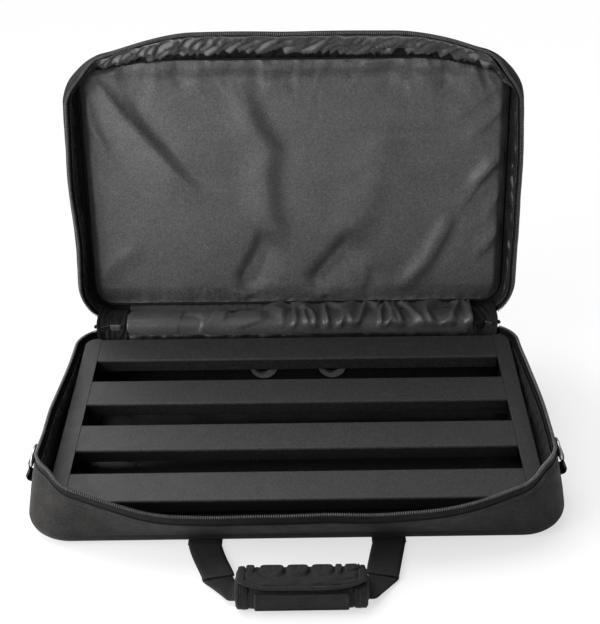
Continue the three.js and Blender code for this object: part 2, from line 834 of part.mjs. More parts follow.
// The strip of cloth over the hinge, bent from the base's rim to the opened lid's rim
function hingeGusset() {
  const y = rimHalfDepth - rimWall / 2;
  const low = zipHeight - zipReach + fit;
  const hinge = new THREE.Vector3(0, hingeY, zipHeight);
  const lidRim = new THREE.Vector3(0, y, zipHeight + zipReach - fit).sub(hinge);
  lidRim.applyAxisAngle(new THREE.Vector3(1, 0, 0), -openAngle).add(hinge);
  const bend = [
    new THREE.Vector3(0, y, low),
    new THREE.Vector3(0, y, zipHeight - gussetThick),
    new THREE.Vector3(0, y + gussetLap * 0.3, zipHeight + gussetThick),
    new THREE.Vector3(0, lidRim.y - gussetLap * 0.5, lidRim.z + gussetThick * 0.4),
    lidRim,
  ];
  const curve = new THREE.CatmullRomCurve3(bend);
  const upper = [];
  const lower = [];
  for (let k = 0; k <= gussetSteps; k += 1) {
    const p = curve.getPoint(k / gussetSteps);
    const t = curve.getTangent(k / gussetSteps);
    const normal = new THREE.Vector3(0, -t.z, t.y).multiplyScalar(gussetThick / 2);
    upper.push(p.clone().add(normal));
    lower.unshift(p.clone().sub(normal));
  }
  const loop = [...upper, ...lower];
  const at = (x) => loop.map((p) => new THREE.Vector3(x, p.y, p.z));
  const rings = [];
  for (let k = 0; k <= gussetColumns; k += 1) {
    rings.push(at(THREE.MathUtils.lerp(-gussetHalfWidth, gussetHalfWidth, k / gussetColumns)));
  }
  return skin(rings, true);
}

// Assembly
const root = new THREE.Group();
const lid = new THREE.Group();
const lidIn = new THREE.Group();
lid.position.set(0, hingeY, zipHeight);
lid.rotation.x = -openAngle;
lidIn.position.set(0, -hingeY, -zipHeight);
lid.add(lidIn);
root.add(lid);

root.add(piece('base_shell', baseShell(), 'shell'));
const baseSheet = floorSheet(footPlan, sheetInset + footWall, floorThick + fit);
root.add(piece('base_stiffener', baseSheet, 'stiffener'));
root.add(piece('base_lining', baseLining(), 'lining'));
const baseZip = zipSide(-1);
root.add(piece('base_zip_tape', baseZip.tape, 'trim'));
root.add(piece('base_zip_teeth', baseZip.teeth, 'zip'));

lidIn.add(piece('lid_shell', lidShell(), 'shell'));
const lidSheet = floorSheet(rimPlan, sheetInset + lidWall, ceiling - boardSheet - fit);
lidIn.add(piece('lid_stiffener', lidSheet, 'stiffener'));
lidIn.add(piece('lid_lining_panel', liningPanel(), 'panel'));
lidIn.add(piece('lid_wall_lining', lidWallLining(), 'lining'));
lidIn.add(piece('lid_panel_binding', panelBinding(), 'trim'));
const lidZip = zipSide(1);
lidIn.add(piece('lid_zip_tape', lidZip.tape, 'trim'));
lidIn.add(piece('lid_zip_teeth', lidZip.teeth, 'zip'));

root.add(piece('hinge_gusset', hingeGusset(), 'lining'));

for (const [side, tag] of [[-1, 'left'], [1, 'right']]) {
  const zipGroup = sliderFrame(side);
  zipGroup.add(piece(`zip_slider_${tag}`, slider(), 'metal'));
  zipGroup.add(piece(`zip_pull_${tag}`, zipPull(side), 'metal'));
  root.add(zipGroup);

  const tabEnd = gussetHalfWidth + 2 * fit;
  const tabX = side < 0 ? [-tabEnd - endTabWidth, -tabEnd] : [tabEnd, tabEnd + endTabWidth];
  const tabLow = zipHeight - zipReach + fit;
  const tapeSag = (rimCorner - zipInset) * (1 - Math.cos(Math.PI / 2 / planCornerSteps));
  const tabY = rimHalfDepth - zipInset - tapeThick / 2 - tapeSag - fit - endTabThick;
  const endTab = block(tabX, [tabY, tabY + endTabThick], [tabLow, tabLow + endTabHeight]);
  root.add(piece(`zip_end_tab_${tag}`, endTab, 'trim'));

  const ringGroup = new THREE.Group();
  const wallLean = Math.atan2(footHalfWidth - rimHalfWidth, zipHeight - zipReach - footRound);
  const wallX = footHalfWidth - (ringHeight - footRound) * Math.tan(wallLean);
  ringGroup.position.set(side * wallX, ringY, ringHeight);
  ringGroup.rotation.set(0, -side * wallLean, side < 0 ? Math.PI : 0);
  ringGroup.add(piece(`ring_tab_${tag}`, sideTab(), 'webbing'));
  ringGroup.add(piece(`d_ring_${tag}`, sideRing(), 'metal'));
  root.add(ringGroup);

  root.add(piece(`handle_anchor_${tag}`, handleAnchor(side), 'webbing'));
  root.add(piece(`handle_strap_${tag}`, strap(side), 'webbing'));
}

root.add(piece('handle_core', gripCore(), 'webbing'));
root.add(piece('handle_wrap', gripWrap(), 'grip'));
root.add(piece('handle_flap', curvedPlate(flapPlate), 'grip'));
root.add(piece('handle_pad', curvedPlate(padPlate), 'grip'));

const deck = new THREE.Group();
deck.position.set(0, deckFrontY, deckFrontHeight);
deck.rotation.x = deckSlope;
const gapRoom = deckDepth - (gapShares.length + 1) * railDepth;
const railStarts = [0];
for (const share of gapShares) {
  railStarts.push(railStarts.at(-1) + railDepth + gapRoom * share);
}
railStarts.forEach((start, k) => {
  const rail = piece(`cross_rail_${k + 1}`, crossRail(), 'deck');
  rail.position.y = start;
  deck.add(rail);
});
deck.add(piece('side_rail_left', sideRail(-1), 'deck'));
deck.add(piece('side_rail_right', sideRail(1), 'deck'));
root.add(deck);
root.add(piece('side_frame_left', sideFrame(-1), 'deck'));
root.add(piece('side_frame_right', sideFrame(1), 'deck'));
root.add(piece('rear_brace', rearBrace(), 'deck'));
for (const [x, tag] of [[-portAt, 'left'], [portAt, 'right']]) {
  const bush = piece(`cable_grommet_${tag}`, grommet(), 'rubber');
  bush.position.set(x, braceY + braceWall / 2, portHeight);
  root.add(bush);
}
const footRun = frameMargin + deckFootInset;
const footY = [deckFrontY + footRun, deckBackY - footRun];
const footX = deckWidth / 2 - frameInset - flangeWidth / 2;
let footNumber = 1;
for (const y of footY) {
  for (const x of [-footX, footX]) {
    const foot = new THREE.CylinderGeometry(deckFootRadius, deckFootRadius, deckFootHeight, roundSides);
    const pad = piece(`board_foot_${footNumber}`, foot.rotateX(Math.PI / 2), 'rubber');
    pad.position.set(x, y, liningFloor + liningThick + fit + deckFootHeight / 2);
    root.add(pad);
    footNumber += 1;
  }
}

export default root;
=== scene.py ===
import json
from collections import namedtuple
from math import atan2, copysign, cos, dist, exp, hypot, pi, radians, sin, sqrt, tan
import bmesh
import bpy
from mathutils import Matrix, Vector, noise


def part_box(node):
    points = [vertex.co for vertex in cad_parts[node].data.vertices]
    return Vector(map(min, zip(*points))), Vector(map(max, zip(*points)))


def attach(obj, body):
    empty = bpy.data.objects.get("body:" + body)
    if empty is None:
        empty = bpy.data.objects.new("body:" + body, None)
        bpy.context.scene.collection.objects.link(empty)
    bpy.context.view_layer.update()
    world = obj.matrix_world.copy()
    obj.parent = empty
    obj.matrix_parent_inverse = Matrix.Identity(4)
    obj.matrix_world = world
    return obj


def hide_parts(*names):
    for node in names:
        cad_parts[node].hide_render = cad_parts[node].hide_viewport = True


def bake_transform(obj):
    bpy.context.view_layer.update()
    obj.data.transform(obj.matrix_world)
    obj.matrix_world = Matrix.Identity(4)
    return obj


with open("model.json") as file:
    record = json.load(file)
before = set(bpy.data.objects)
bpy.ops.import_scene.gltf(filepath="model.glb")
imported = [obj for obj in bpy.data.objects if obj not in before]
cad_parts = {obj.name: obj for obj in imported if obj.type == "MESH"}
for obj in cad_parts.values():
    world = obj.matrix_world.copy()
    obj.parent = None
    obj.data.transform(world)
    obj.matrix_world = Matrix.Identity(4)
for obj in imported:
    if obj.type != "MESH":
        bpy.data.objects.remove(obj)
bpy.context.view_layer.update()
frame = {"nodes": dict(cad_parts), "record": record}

scene = bpy.context.scene
sides = ((-1, "left"), (1, "right"))
upward = Vector((0, 0, 1))

# The camera stands at the photograph's place; the image is taken as 600 by 624
camera = {
    "place": (0.0192, -1.1941, 0.8336), "tiltDown": radians(27.559), "turn": radians(0.441),
    "roll": radians(-0.483), "focalPx": 1063.0, "framePx": 624.0, "shiftPx": 17.7, "sensor": 36.0, "clipEnd": 50,
}


def placed(name, data):
    made = bpy.data.objects.new(name, data)
    scene.collection.objects.link(made)
    return made


def makeCamera():
    data = bpy.data.cameras.new("camera")
    data.sensor_width = camera["sensor"]
    data.lens = camera["focalPx"] * camera["sensor"] / camera["framePx"]
    data.shift_x = -camera["shiftPx"] / camera["framePx"]
    data.clip_end = camera["clipEnd"]
    turn, tilt, roll = camera["turn"], camera["tiltDown"], camera["roll"]
    forward = Vector((sin(turn) * cos(tilt), cos(turn) * cos(tilt), -sin(tilt)))
    right = Vector((cos(turn), -sin(turn), 0))
    up = right.cross(forward)
    right, up = right * cos(roll) + up * sin(roll), up * cos(roll) - right * sin(roll)
    scene.camera = placed("camera", data)
    turned = Matrix((right, up, -forward)).transposed().to_4x4()
    scene.camera.matrix_world = Matrix.Translation(camera["place"]) @ turned


makeCamera()
print("camera ready")


# Shader helpers
def addNode(tree, kind, inputs=None, **settings):
    made = tree.nodes.new(kind)
    for key, value in settings.items():
        setattr(made, key, value)
    for key, value in (inputs or {}).items():
        if isinstance(value, bpy.types.NodeSocket):
            tree.links.new(value, made.inputs[key])
        else:
            made.inputs[key].default_value = value
    return made


def sums(tree, operation, *terms):
    return addNode(tree, "ShaderNodeMath", dict(enumerate(terms)), operation=operation).outputs[0]


def scaled(tree, value, factor):
    return addNode(tree, "ShaderNodeVectorMath", {0: value, "Scale": factor}, operation="SCALE").outputs[0]


def ranged(tree, value, low, high, toLow=0.0, toHigh=1.0):
    inputs = {"Value": value, "From Min": low, "From Max": high, "To Min": toLow, "To Max": toHigh}
    return addNode(tree, "ShaderNodeMapRange", inputs).outputs[0]


number, vector, colour = "NodeSocketFloat", "NodeSocketVector", "NodeSocketColor"


def newGroup(name, inputs, output):
    tree = bpy.data.node_groups.new(name, "ShaderNodeTree")
    for label, kind in inputs.items():
        tree.interface.new_socket(name=label, in_out="INPUT", socket_type=kind)
    tree.interface.new_socket(name=output[0], in_out="OUTPUT", socket_type=output[1])
    return tree, tree.nodes.new("NodeGroupInput").outputs, tree.nodes.new("NodeGroupOutput").inputs


def makeWeaveGroup():
    # plain weave from cloth coordinates in metres
    tree, given, out = newGroup("weave", {"Place": vector, "Pitch": number}, ("Height", number))
    turns = scaled(tree, given["Place"], sums(tree, "DIVIDE", 2 * pi, given["Pitch"]))
    split = addNode(tree, "ShaderNodeSeparateXYZ", {0: turns}).outputs
    crossed = sums(tree, "MULTIPLY", sums(tree, "SINE", split["X"]), sums(tree, "SINE", split["Y"]))
    tree.links.new(sums(tree, "MULTIPLY_ADD", crossed, 0.5, 0.5), out[0])
    return tree


def makeVaryGroup():
    # soft blotches between two values
    inputs = {"Place": vector, "Size": number, "Low": number, "High": number, "Detail": number}
    tree, given, out = newGroup("vary", inputs, ("Value", number))
    scale = sums(tree, "DIVIDE", 1.0, given["Size"])
    blot = addNode(tree, "ShaderNodeTexNoise", {"Vector": given["Place"], "Scale": scale, "Detail": given["Detail"]})
    tree.links.new(ranged(tree, blot.outputs[0], 0.3, 0.7, given["Low"], given["High"]), out[0])
    return tree


def makeShadeGroup():
    # a colour made darker or lighter by a factor, with worn, paler edges
    tree, given, out = newGroup("shade", {"Color": colour, "Factor": number, "Wear": number}, ("Color", colour))
    edge = ranged(tree, addNode(tree, "ShaderNodeNewGeometry").outputs["Pointiness"], 0.5, 0.62)
    lift = sums(tree, "MULTIPLY_ADD", edge, given["Wear"], 1.0)
    tree.links.new(scaled(tree, scaled(tree, given["Color"], given["Factor"]), lift), out[0])
    return tree


def makeLintGroup():
    # a few pale specks of lint and dust
    tree, given, out = newGroup("lint", {"Place": vector, "Amount": number}, ("Mask", number))
    inputs = {"Vector": given["Place"], "Scale": 90.0, "Randomness": 1.0}
    cells = addNode(tree, "ShaderNodeTexVoronoi", inputs).outputs
    split = addNode(tree, "ShaderNodeSeparateColor", {0: cells["Color"]})
    chosen = sums(tree, "GREATER_THAN", split.outputs[0], 0.93)
    speck = sums(tree, "MULTIPLY", ranged(tree, cells["Distance"], 0.1, 0.03), chosen)
    tree.links.new(sums(tree, "MULTIPLY", speck, given["Amount"]), out[0])
    return tree


weaveGroup = makeWeaveGroup()
varyGroup = makeVaryGroup()
shadeGroup = makeShadeGroup()
lintGroup = makeLintGroup()


def placeGroup(tree, group, inputs):
    return addNode(tree, "ShaderNodeGroup", inputs, node_tree=group).outputs[0]


def varied(tree, place, size, span, detail):
    inputs = {"Place": place, "Size": size, "Low": span[0], "High": span[1], "Detail": detail}
    return placeGroup(tree, varyGroup, inputs)


def startMaterial(name, settings):
    made = bpy.data.materials.new(name)
    made.use_nodes = True
    made.diffuse_color = (0.03, 0.03, 0.03, 1)
    shader = made.node_tree.nodes["Principled BSDF"]
    for key, value in settings.items():
        shader.inputs[key].default_value = value
    return made, made.node_tree, shader


# Cloth finishes: colour, weave pitch, bump depths and sizes in metres, blotches, speckle, wear and gloss
anyCloth = {"pitch": 0.0007, "weave": 0.00004, "weaveStrength": 0.8, "grain": 0.0002, "grainSize": 0.007,
            "grainDetail": 4.0, "strength": 0.6, "vary": (0.85, 1.15), "blotch": 0.035, "patch": 0.020,
            "patchDetail": 2.0, "speck": 0.2, "wear": 0.2, "lint": 0.02, "lintColor": (0.4, 0.39, 0.37, 1)}
clothFinishes = {
    "outerNylon": {"color": (0.0088, 0.0079, 0.0073), "pitch": 0.0013, "weave": 0.00020, "grain": 0.0005,
                   "grainSize": 0.0035, "rough": (0.62, 0.80), "vary": (0.78, 1.22), "speck": 0.75, "wear": 0.3,
                   "lint": 0.06, "set": {"Sheen Weight": 0.03, "Sheen Roughness": 0.5, "Specular IOR Level": 0.25}},
    "liningBlack": {"color": (0.0100, 0.0099, 0.0097), "grainSize": 0.006, "rough": (0.26, 0.38), "wear": 0.3,
                    "set": {"Sheen Weight": 0.05, "Sheen Roughness": 0.4}},
    "liningSatin": {"color": (0.0500, 0.0495, 0.0490), "grain": 0.00015, "rough": (0.35, 0.45), "vary": (0.88, 1.12),
                    "speck": 0.25, "set": {"Sheen Weight": 0.04, "Sheen Roughness": 0.35, "Specular IOR Level": 0.5}},
    # painted light: a lighter, glossier copy of the lid's wall satin, for the lit front wall
    "liningLitSatin": {"color": (0.0640, 0.0634, 0.0628), "weave": 0.00003, "grain": 0.00010, "rough": (0.16, 0.24),
                    "vary": (0.88, 1.12), "lint": 0.0, "set": {"Sheen Weight": 0.02, "Specular IOR Level": 1.0}},
    "liningGrey": {"color": (0.0620, 0.0612, 0.0606), "weave": 0.00005, "grain": 0.00012, "grainSize": 0.009,
                   "rough": (0.38, 0.48), "vary": (0.92, 1.08), "speck": 0.42, "wear": 0.1,
                   "set": {"Sheen Weight": 0.08, "Sheen Roughness": 0.35, "Anisotropic": 0.3}},
    "binding": {"color": (0.0040, 0.0039, 0.0038), "pitch": 0.0010, "weave": 0.00014, "grainSize": 0.003,
                "rough": (0.62, 0.78), "speck": 0.4, "set": {"Sheen Weight": 0.0, "Specular IOR Level": 0.2}},
    "webbing": {"color": (0.0070, 0.0066, 0.0063), "pitch": 0.0016, "weave": 0.00022, "grainSize": 0.003,
                "rough": (0.58, 0.76), "vary": (0.8, 1.2), "speck": 0.4, "wear": 0.6, "lint": 0.04,
                "set": {"Sheen Weight": 0.03, "Specular IOR Level": 0.3}},
    "gripCloth": {"color": (0.0060, 0.0058, 0.0056), "pitch": 0.0011, "weave": 0.00022, "grain": 0.0007,
                  "grainSize": 0.0022, "rough": (0.62, 0.80), "vary": (0.82, 1.18), "speck": 0.8, "wear": 0.7,
                  "lint": 0.07, "set": {"Sheen Weight": 0.03, "Specular IOR Level": 0.26}},
    "thread": {"color": (0.0240, 0.0230, 0.0220), "pitch": 0.0004, "weave": 0.00005, "grain": 0.0001,
               "grainSize": 0.001, "rough": (0.40, 0.55), "speck": 0.1, "lint": 0.0, "set": {"Sheen Weight": 0.05}},
}
# Hard finishes: the same without a weave, with the rounding of edges in metres
anyHard = {"grainSize": 0.002, "grainDetail": 2.0, "strength": 0.5, "vary": (0.8, 1.2), "blotch": 0.030,
           "patch": 0.012, "patchDetail": 4.0, "speck": 0.2, "bevel": 0.0004, "set": {}}
hardFinishes = {
    # painted shade: the powder coat carries a darkening of the faces inside the board's slots
    "powderCoat": {"color": (0.0122, 0.0125, 0.0120), "rough": (0.44, 0.52), "vary": (0.94, 1.06), "wear": 0.5,
                   "speck": 0.5, "grain": 0.00022, "grainSize": 0.0013, "bevel": 0.0009, "paintedSlotShade": 0.2,
                   "set": {"Specular IOR Level": 0.32}},
    "nickel": {"color": (0.40, 0.40, 0.41), "rough": (0.20, 0.34), "vary": (0.9, 1.05), "wear": 0.2, "speck": 0.0,
               "grain": 0.00004, "set": {"Metallic": 1.0}},
    "zipPlastic": {"color": (0.0560, 0.0552, 0.0545), "rough": (0.22, 0.34), "wear": 0.6, "grain": 0.00003,
                   "bevel": 0.0002},
    "rubber": {"color": (0.2000, 0.1980, 0.1960), "rough": (0.42, 0.6), "vary": (0.85, 1.15), "wear": 0.3,
               "grain": 0.00008, "grainSize": 0.0015},
    "hardboard": {"color": (0.22, 0.15, 0.09), "rough": (0.7, 0.85), "wear": 0.1, "speck": 0.3,
                  "grain": 0.0003, "grainSize": 0.004, "bevel": 0.0003},
}


def makeFinish(name, finish):
    made, tree, shader = startMaterial(name, finish["set"])
    body = addNode(tree, "ShaderNodeTexCoord").outputs["Object"]
    factor = varied(tree, body, finish["blotch"], finish["vary"], 3.0)
    # fine grain of the colour, about one and three millimetres across
    for size, amount in ((0.0011, finish["speck"]), (0.0030, finish["speck"] * 0.75)):
        factor = sums(tree, "MULTIPLY", factor, varied(tree, body, size, (1 - amount, 1 + amount), 1.5))
    if "paintedSlotShade" in finish:
        # painted shade: faces that look into the board's slots are darkened by ambient occlusion, standing in for the
        # shade in the slots
        slotShadeOcclusion = addNode(tree, "ShaderNodeAmbientOcclusion", {"Distance": 0.05}, samples=6).outputs["AO"]
        factor = sums(tree, "MULTIPLY", factor, ranged(tree, slotShadeOcclusion, 0.35, 0.8, finish["paintedSlotShade"]))
    shaded = placeGroup(tree, shadeGroup, {"Color": (*finish["color"], 1), "Factor": factor, "Wear": finish["wear"]})
    rough = varied(tree, body, finish["patch"], finish["rough"], finish["patchDetail"])
    grain = varied(tree, body, finish["grainSize"], (0.0, 1.0), finish["grainDetail"])
    inputs = {"Height": grain, "Distance": finish["grain"], "Strength": finish["strength"]}
    bump = addNode(tree, "ShaderNodeBump", inputs)
    normal = bump.outputs[0]
    if "bevel" in finish:
        soft = addNode(tree, "ShaderNodeBevel", {"Radius": finish["bevel"]}, samples=4)
        tree.links.new(soft.outputs[0], bump.inputs["Normal"])
    if "weave" in finish:
        lint = placeGroup(tree, lintGroup, {"Place": body, "Amount": finish["lint"]})
        inputs = {0: lint, 6: shaded, 7: finish["lintColor"]}
        shaded = addNode(tree, "ShaderNodeMix", inputs, data_type="RGBA").outputs[2]
        place = addNode(tree, "ShaderNodeAttribute", attribute_name="clothPlace").outputs["Vector"]
        weave = placeGroup(tree, weaveGroup, {"Place": place, "Pitch": finish["pitch"]})
        inputs = {"Height": weave, "Distance": finish["weave"], "Strength": finish["weaveStrength"], "Normal": normal}
        normal = addNode(tree, "ShaderNodeBump", inputs).outputs[0]
    for key, socket in (("Base Color", shaded), ("Roughness", rough), ("Normal", normal)):
        tree.links.new(socket, shader.inputs[key])
    return made


finishOf = {name: makeFinish(name, {**anyCloth, **finish}) for name, finish in clothFinishes.items()}
finishOf.update({name: makeFinish(name, {**anyHard, **finish}) for name, finish in hardFinishes.items()})
slotFinish = {"outer_nylon": "outerNylon", "lining": "liningBlack", "lid_lining": "liningGrey", "trim": "binding",
              "stiffener": "hardboard", "zip": "zipPlastic", "metal": "nickel", "webbing": "webbing",
              "grip": "gripCloth", "board": "powderCoat", "rubber": "rubber"}

for entry in frame["record"]["subparts"]:
    solid = frame["nodes"][entry["node"]]
    solid.data.materials.clear()
    solid.data.materials.append(finishOf[slotFinish[entry["material_slot"]]])
print("materials ready")


# Meshes from rows of points
def makeMesh(name, points, faces):
    mesh = bpy.data.meshes.new(name)
    mesh.from_pydata(points, [], faces)
    mesh.shade_smooth()
    return placed(name, mesh)


def faceOut(made):
    work = bmesh.new()
    work.from_mesh(made.data)
    bmesh.ops.recalc_face_normals(work, faces=work.faces)
    work.to_mesh(made.data)
    work.free()


def travel(line):
    # the distance from the start at each point of a line
    run = [0.0]
    for a, b in zip(line, line[1:]):
        run.append(run[-1] + dist(a, b))
    return run


def gridMesh(name, rows, wrap=False, loop=False, capStart=False, capEnd=False):
    # wrap joins both ends of each row, loop joins the last row to the first
    count, across = len(rows), len(rows[0])
    middle = rows[count // 2]
    along = travel([*middle, middle[0]])
    down = travel([row[across // 4] for row in [*rows, rows[0]]])
    faces, spots = [], []
    for r in range(count if loop else count - 1):
        for c in range(across if wrap else across - 1):
            corners = ((r, c), (r, c + 1), (r + 1, c + 1), (r + 1, c))
            faces.append([j % count * across + k % across for j, k in corners])
            spots += [(along[k], down[j]) for j, k in corners]
    if capStart:
        faces.append(list(reversed(range(across))))
        spots += [(p.x, p.y) for p in reversed(rows[0])]
    if capEnd:
        faces.append([(count - 1) * across + c for c in range(across)])
        spots += [(p.x, p.y) for p in rows[-1]]
    made = makeMesh(name, [p for row in rows for p in row], faces)
    place = made.data.attributes.new("clothPlace", "FLOAT_VECTOR", "CORNER")
    place.data.foreach_set("vector", [x for u, v in spots for x in (u, v, 0.0)])
    if wrap:
        faceOut(made)
    return made


def solidMesh(name, rows):
    return gridMesh(name, rows, wrap=True, capStart=True, capEnd=True)


def looseMesh(name, shapes):
    # many small closed shapes in one mesh, each given as rings
    points, faces = [], []
    for rings in shapes:
        base, across, last = len(points), len(rings[0]), len(rings) - 1
        points += [p for ring in rings for p in ring]
        for r in range(last):
            low, high = base + r * across, base + (r + 1) * across
            for c in range(across):
                n = (c + 1) % across
                faces.append((low + c, low + n, high + n, high + c))
        faces.append([base + c for c in reversed(range(across))])
        faces.append([base + last * across + c for c in range(across)])
    made = makeMesh(name, points, faces)
    faceOut(made)
    return made


def thicken(made, depth, offset=-1.0):
    sheet = made.modifiers.new("cloth thickness", "SOLIDIFY")
    sheet.thickness = depth
    sheet.offset = offset
    return made


def dress(made, body, slotName, *replaced, finish=None):
    made.data.materials.append(finishOf[finish or slotFinish[slotName]])
    if body:
        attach(made, body)
    if replaced:
        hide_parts(*replaced)
    return made


def wobble(point, size, seed):
    return noise.noise(Vector((point[0] / size + seed, point[1] / size - seed, point[2] / size + 2 * seed)))


def smooth(share):
    share = min(max(share, 0.0), 1.0)
    return share * share * (3 - 2 * share)


def mix(a, b, share):
    return a + (b - a) * share


def bell(away):
    return exp(-away * away)


def shares(steps):
    return [k / steps for k in range(steps + 1)]


def heading(line, k):
    # the direction of a line at one of its points
    return (line[min(k + 1, len(line) - 1)] - line[max(k - 1, 0)]).normalized()


def ringAround(middle, a, b, count):
    # points round an ellipse with the half axes a and b
    angles = [2 * pi * k / count for k in range(count)]
    return [middle + a * cos(angle) + b * sin(angle) for angle in angles]


def resample(path, pitch):
    # equal steps along a line of points, with the direction at each
    spots, carried, total = [], 0.0, 0.0
    for a, b in zip(path, path[1:]):
        length = (b - a).length
        while carried <= total + length and length > 0:
            spots.append((a.lerp(b, (carried - total) / length), (b - a).normalized()))
            carried += pitch
        total += length
    return spots


def curveThrough(points, steps):
    # a smooth line through a few points
    spots = []
    for k in range(steps + 1):
        place = k / steps * (len(points) - 1)
        n = min(int(place), len(points) - 2)
        t = place - n
        a, b = points[n], points[n + 1]
        before = points[n - 1] if n else a * 2 - b
        after = points[n + 2] if n + 2 < len(points) else b * 2 - a
        spots.append(0.5 * (2 * a + (b - before) * t + (2 * before - 5 * a + 4 * b - after) * t * t
                            + (3 * a - before - 3 * b + after) * t ** 3))
    return spots


def foldsAt(x, y, folds, crisp, taper, rising=3.2, falling=3.2):
    # the height at a point of folds given as lines, with their widths on both sides
    total = 0.0
    for points, height, left, right in folds:
        reach = 3 * max(left, right)
        if not all(min(line) - reach < at < max(line) + reach for at, line in zip((x, y), zip(*points))):
            continue
        nearest, share, side, run = 1e9, 0, 1, 0.0
        lengths = [dist(a, b) for a, b in zip(points, points[1:])]
        for a, b, length in zip(points, points[1:], lengths):
            ux, uy = (b[0] - a[0]) / length, (b[1] - a[1]) / length
            t = min(max((x - a[0]) * ux + (y - a[1]) * uy, 0), length)
            dx, dy = x - a[0] - ux * t, y - a[1] - uy * t
            if hypot(dx, dy) < nearest:
                nearest, share = hypot(dx, dy), (run + t) / sum(lengths)
                side = 1 if dx * uy - dy * ux > 0 else -1
            run += length
        far = nearest / ((right if side > 0 else left) * mix(1 + taper, 1 - taper, share))
        if far < 3:
            # a soft swell or a sharp ridge, fading at both ends
            shape = mix(bell(far), max(0.0, 1 - far / 1.8), crisp)
            total += height * shape * smooth(share * rising + 0.12) * smooth((1 - share) * falling + 0.03)
    return total


# Case sizes in metres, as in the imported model
case = {
    "rimHalfWidth": 0.318, "rimHalfDepth": 0.188, "rimCorner": 0.054,
    "footHalfWidth": 0.330, "footForward": 0.007, "footCorner": 0.060, "footRound": 0.016,
    "zipHeight": 0.094, "zipDip": 0.025, "zipReach": 0.011, "height": 0.148,
    "frontFlare": 0.042, "flareInner": 0.133, "flareOuter": 0.335, "cornerDraw": 0.005,
    "footWall": 0.009, "rimWall": 0.005, "floor": 0.005, "liningFloor": 0.0090, "baseWall": 0.067, "lidSide": 0.040,
    "lidRound": 0.014, "lidBulge": 0.004, "lidWall": 0.007, "lidTop": 0.006,
    "hingeOut": 0.0015, "openAngle": radians(98),
    "steps": {"back": 44, "corner": 20, "side": 90, "front": 250},
    "wave": 0.0024, "waveSize": 0.11, "lift": 0.0016, "liftSize": 0.075,
}
halfDepth = case["rimHalfDepth"]
hinge = Vector((0, halfDepth + case["hingeOut"], case["zipHeight"]))
Station = namedtuple("Station", "x y nx ny")


def planOutline(halfWidth, front, back, corner):
    # places round the case with their outward directions, from the middle of the back to the left
    stations = []
    steps, w = case["steps"], halfWidth - corner

    def run(a, b, count, angle):
        for k in range(count):
            stations.append(Station(mix(a[0], b[0], k / count), mix(a[1], b[1], k / count), cos(angle), sin(angle)))

    def turn(cx, cy, start):
        for k in range(steps["corner"]):
            angle = start + pi / 2 * k / steps["corner"]
            c, s = cos(angle), sin(angle)
            stations.append(Station(cx + corner * c, cy + corner * s, c, s))

    run((0, back), (-w, back), steps["back"], pi / 2)
    turn(-w, back - corner, pi / 2)
    run((-halfWidth, back - corner), (-halfWidth, front + corner), steps["side"], pi)
    turn(-w, front + corner, pi)
    run((-w, front), (w, front), steps["front"], pi * 1.5)
    turn(w, front + corner, pi * 1.5)
    run((halfWidth, front + corner), (halfWidth, back - corner), steps["side"], 0)
    turn(w, back - corner, 0)
    run((w, back), (0, back), steps["back"], pi / 2)
    return stations


rimPlan = planOutline(case["rimHalfWidth"], -halfDepth, halfDepth, case["rimCorner"])
footPlan = planOutline(case["footHalfWidth"], -halfDepth - case["footForward"], halfDepth, case["footCorner"])
allStations = range(len(rimPlan))


def flareShare(s):
    facing = smooth((-s.ny - sqrt(0.5)) / (1 - sqrt(0.5)))
    return facing * smooth((case["flareOuter"] - abs(s.x)) / (case["flareOuter"] - case["flareInner"]))


def rimWave(s, size, seed):
    # slow unevenness of the soft rim, none along the hinge
    return 2 * wobble((s.x, s.y, 0), size, seed) * smooth((halfDepth - 0.04 - s.y) / 0.08)


rimSway = [case["wave"] * rimWave(s, case["waveSize"], 6.1) for s in rimPlan]
zipLine = [case["zipHeight"] - case["zipDip"] * flareShare(s) + case["lift"] * rimWave(s, case["liftSize"], 2.6)
           for s in rimPlan]


def rimPoint(i, inset, z):
    s = rimPlan[i]
    draw = abs(s.nx * s.ny) * 2 if s.ny < 0 else 0
    out = rimSway[i] - inset - case["cornerDraw"] * draw
    return Vector((s.x + s.nx * out, s.y + s.ny * out - case["frontFlare"] * flareShare(s), z))


def planPoint(s, inset, z):
    return Vector((s.x - s.nx * inset, s.y - s.ny * inset, z))


def basePoint(i, share, inset):
    # a place on the base's wall, from the foot to the zip
    low = planPoint(footPlan[i], inset, case["footRound"])
    return low.lerp(rimPoint(i, inset, zipLine[i] - case["zipReach"]), share)


def lidWallPoint(i, share, inset):
    # a place on the closed lid's wall, from the zip to the top's rounding
    inset -= case["lidBulge"] * sin(pi * share) * (1 - smooth((rimPlan[i].ny - 0.55) / 0.35))
    low = rimPoint(i, inset, zipLine[i] + case["zipReach"])
    return low.lerp(planPoint(rimPlan[i], inset, case["height"] - case["lidRound"]), share)


def opened(points):
    # from the closed lid's place to the opened one, for a point or for lists of them
    if isinstance(points, list):
        return [opened(point) for point in points]
    c, s = cos(case["openAngle"]), sin(case["openAngle"])
    y, z = points.y - hinge.y, points.z - hinge.z
    return Vector((points.x, hinge.y + y * c + z * s, hinge.z - y * s + z * c))


# Outer shells: padded nylon that swells and sags, with small dents and a stitched hem under the rim
shellLook = {
    "swell": 0.0016, "sag": 0.0011, "sagSize": 0.085, "dent": 0.0005, "dentSize": 0.022,
    "hemDrop": 0.0085, "hemDepth": 0.0005, "hemWidth": 0.0014, "roundSteps": 6, "rimSteps": 5, "rimOut": 0.0016,
    "hemRows": (0.0008, 0.002, 0.004, 0.006, 0.0072, 0.008, 0.0085, 0.009, 0.0098, 0.011, 0.013),
    "wallRows": (0.27, 0.34, 0.42, 0.5, 0.58, 0.66, 0.74, 0.82, 0.9, 0.96),
}


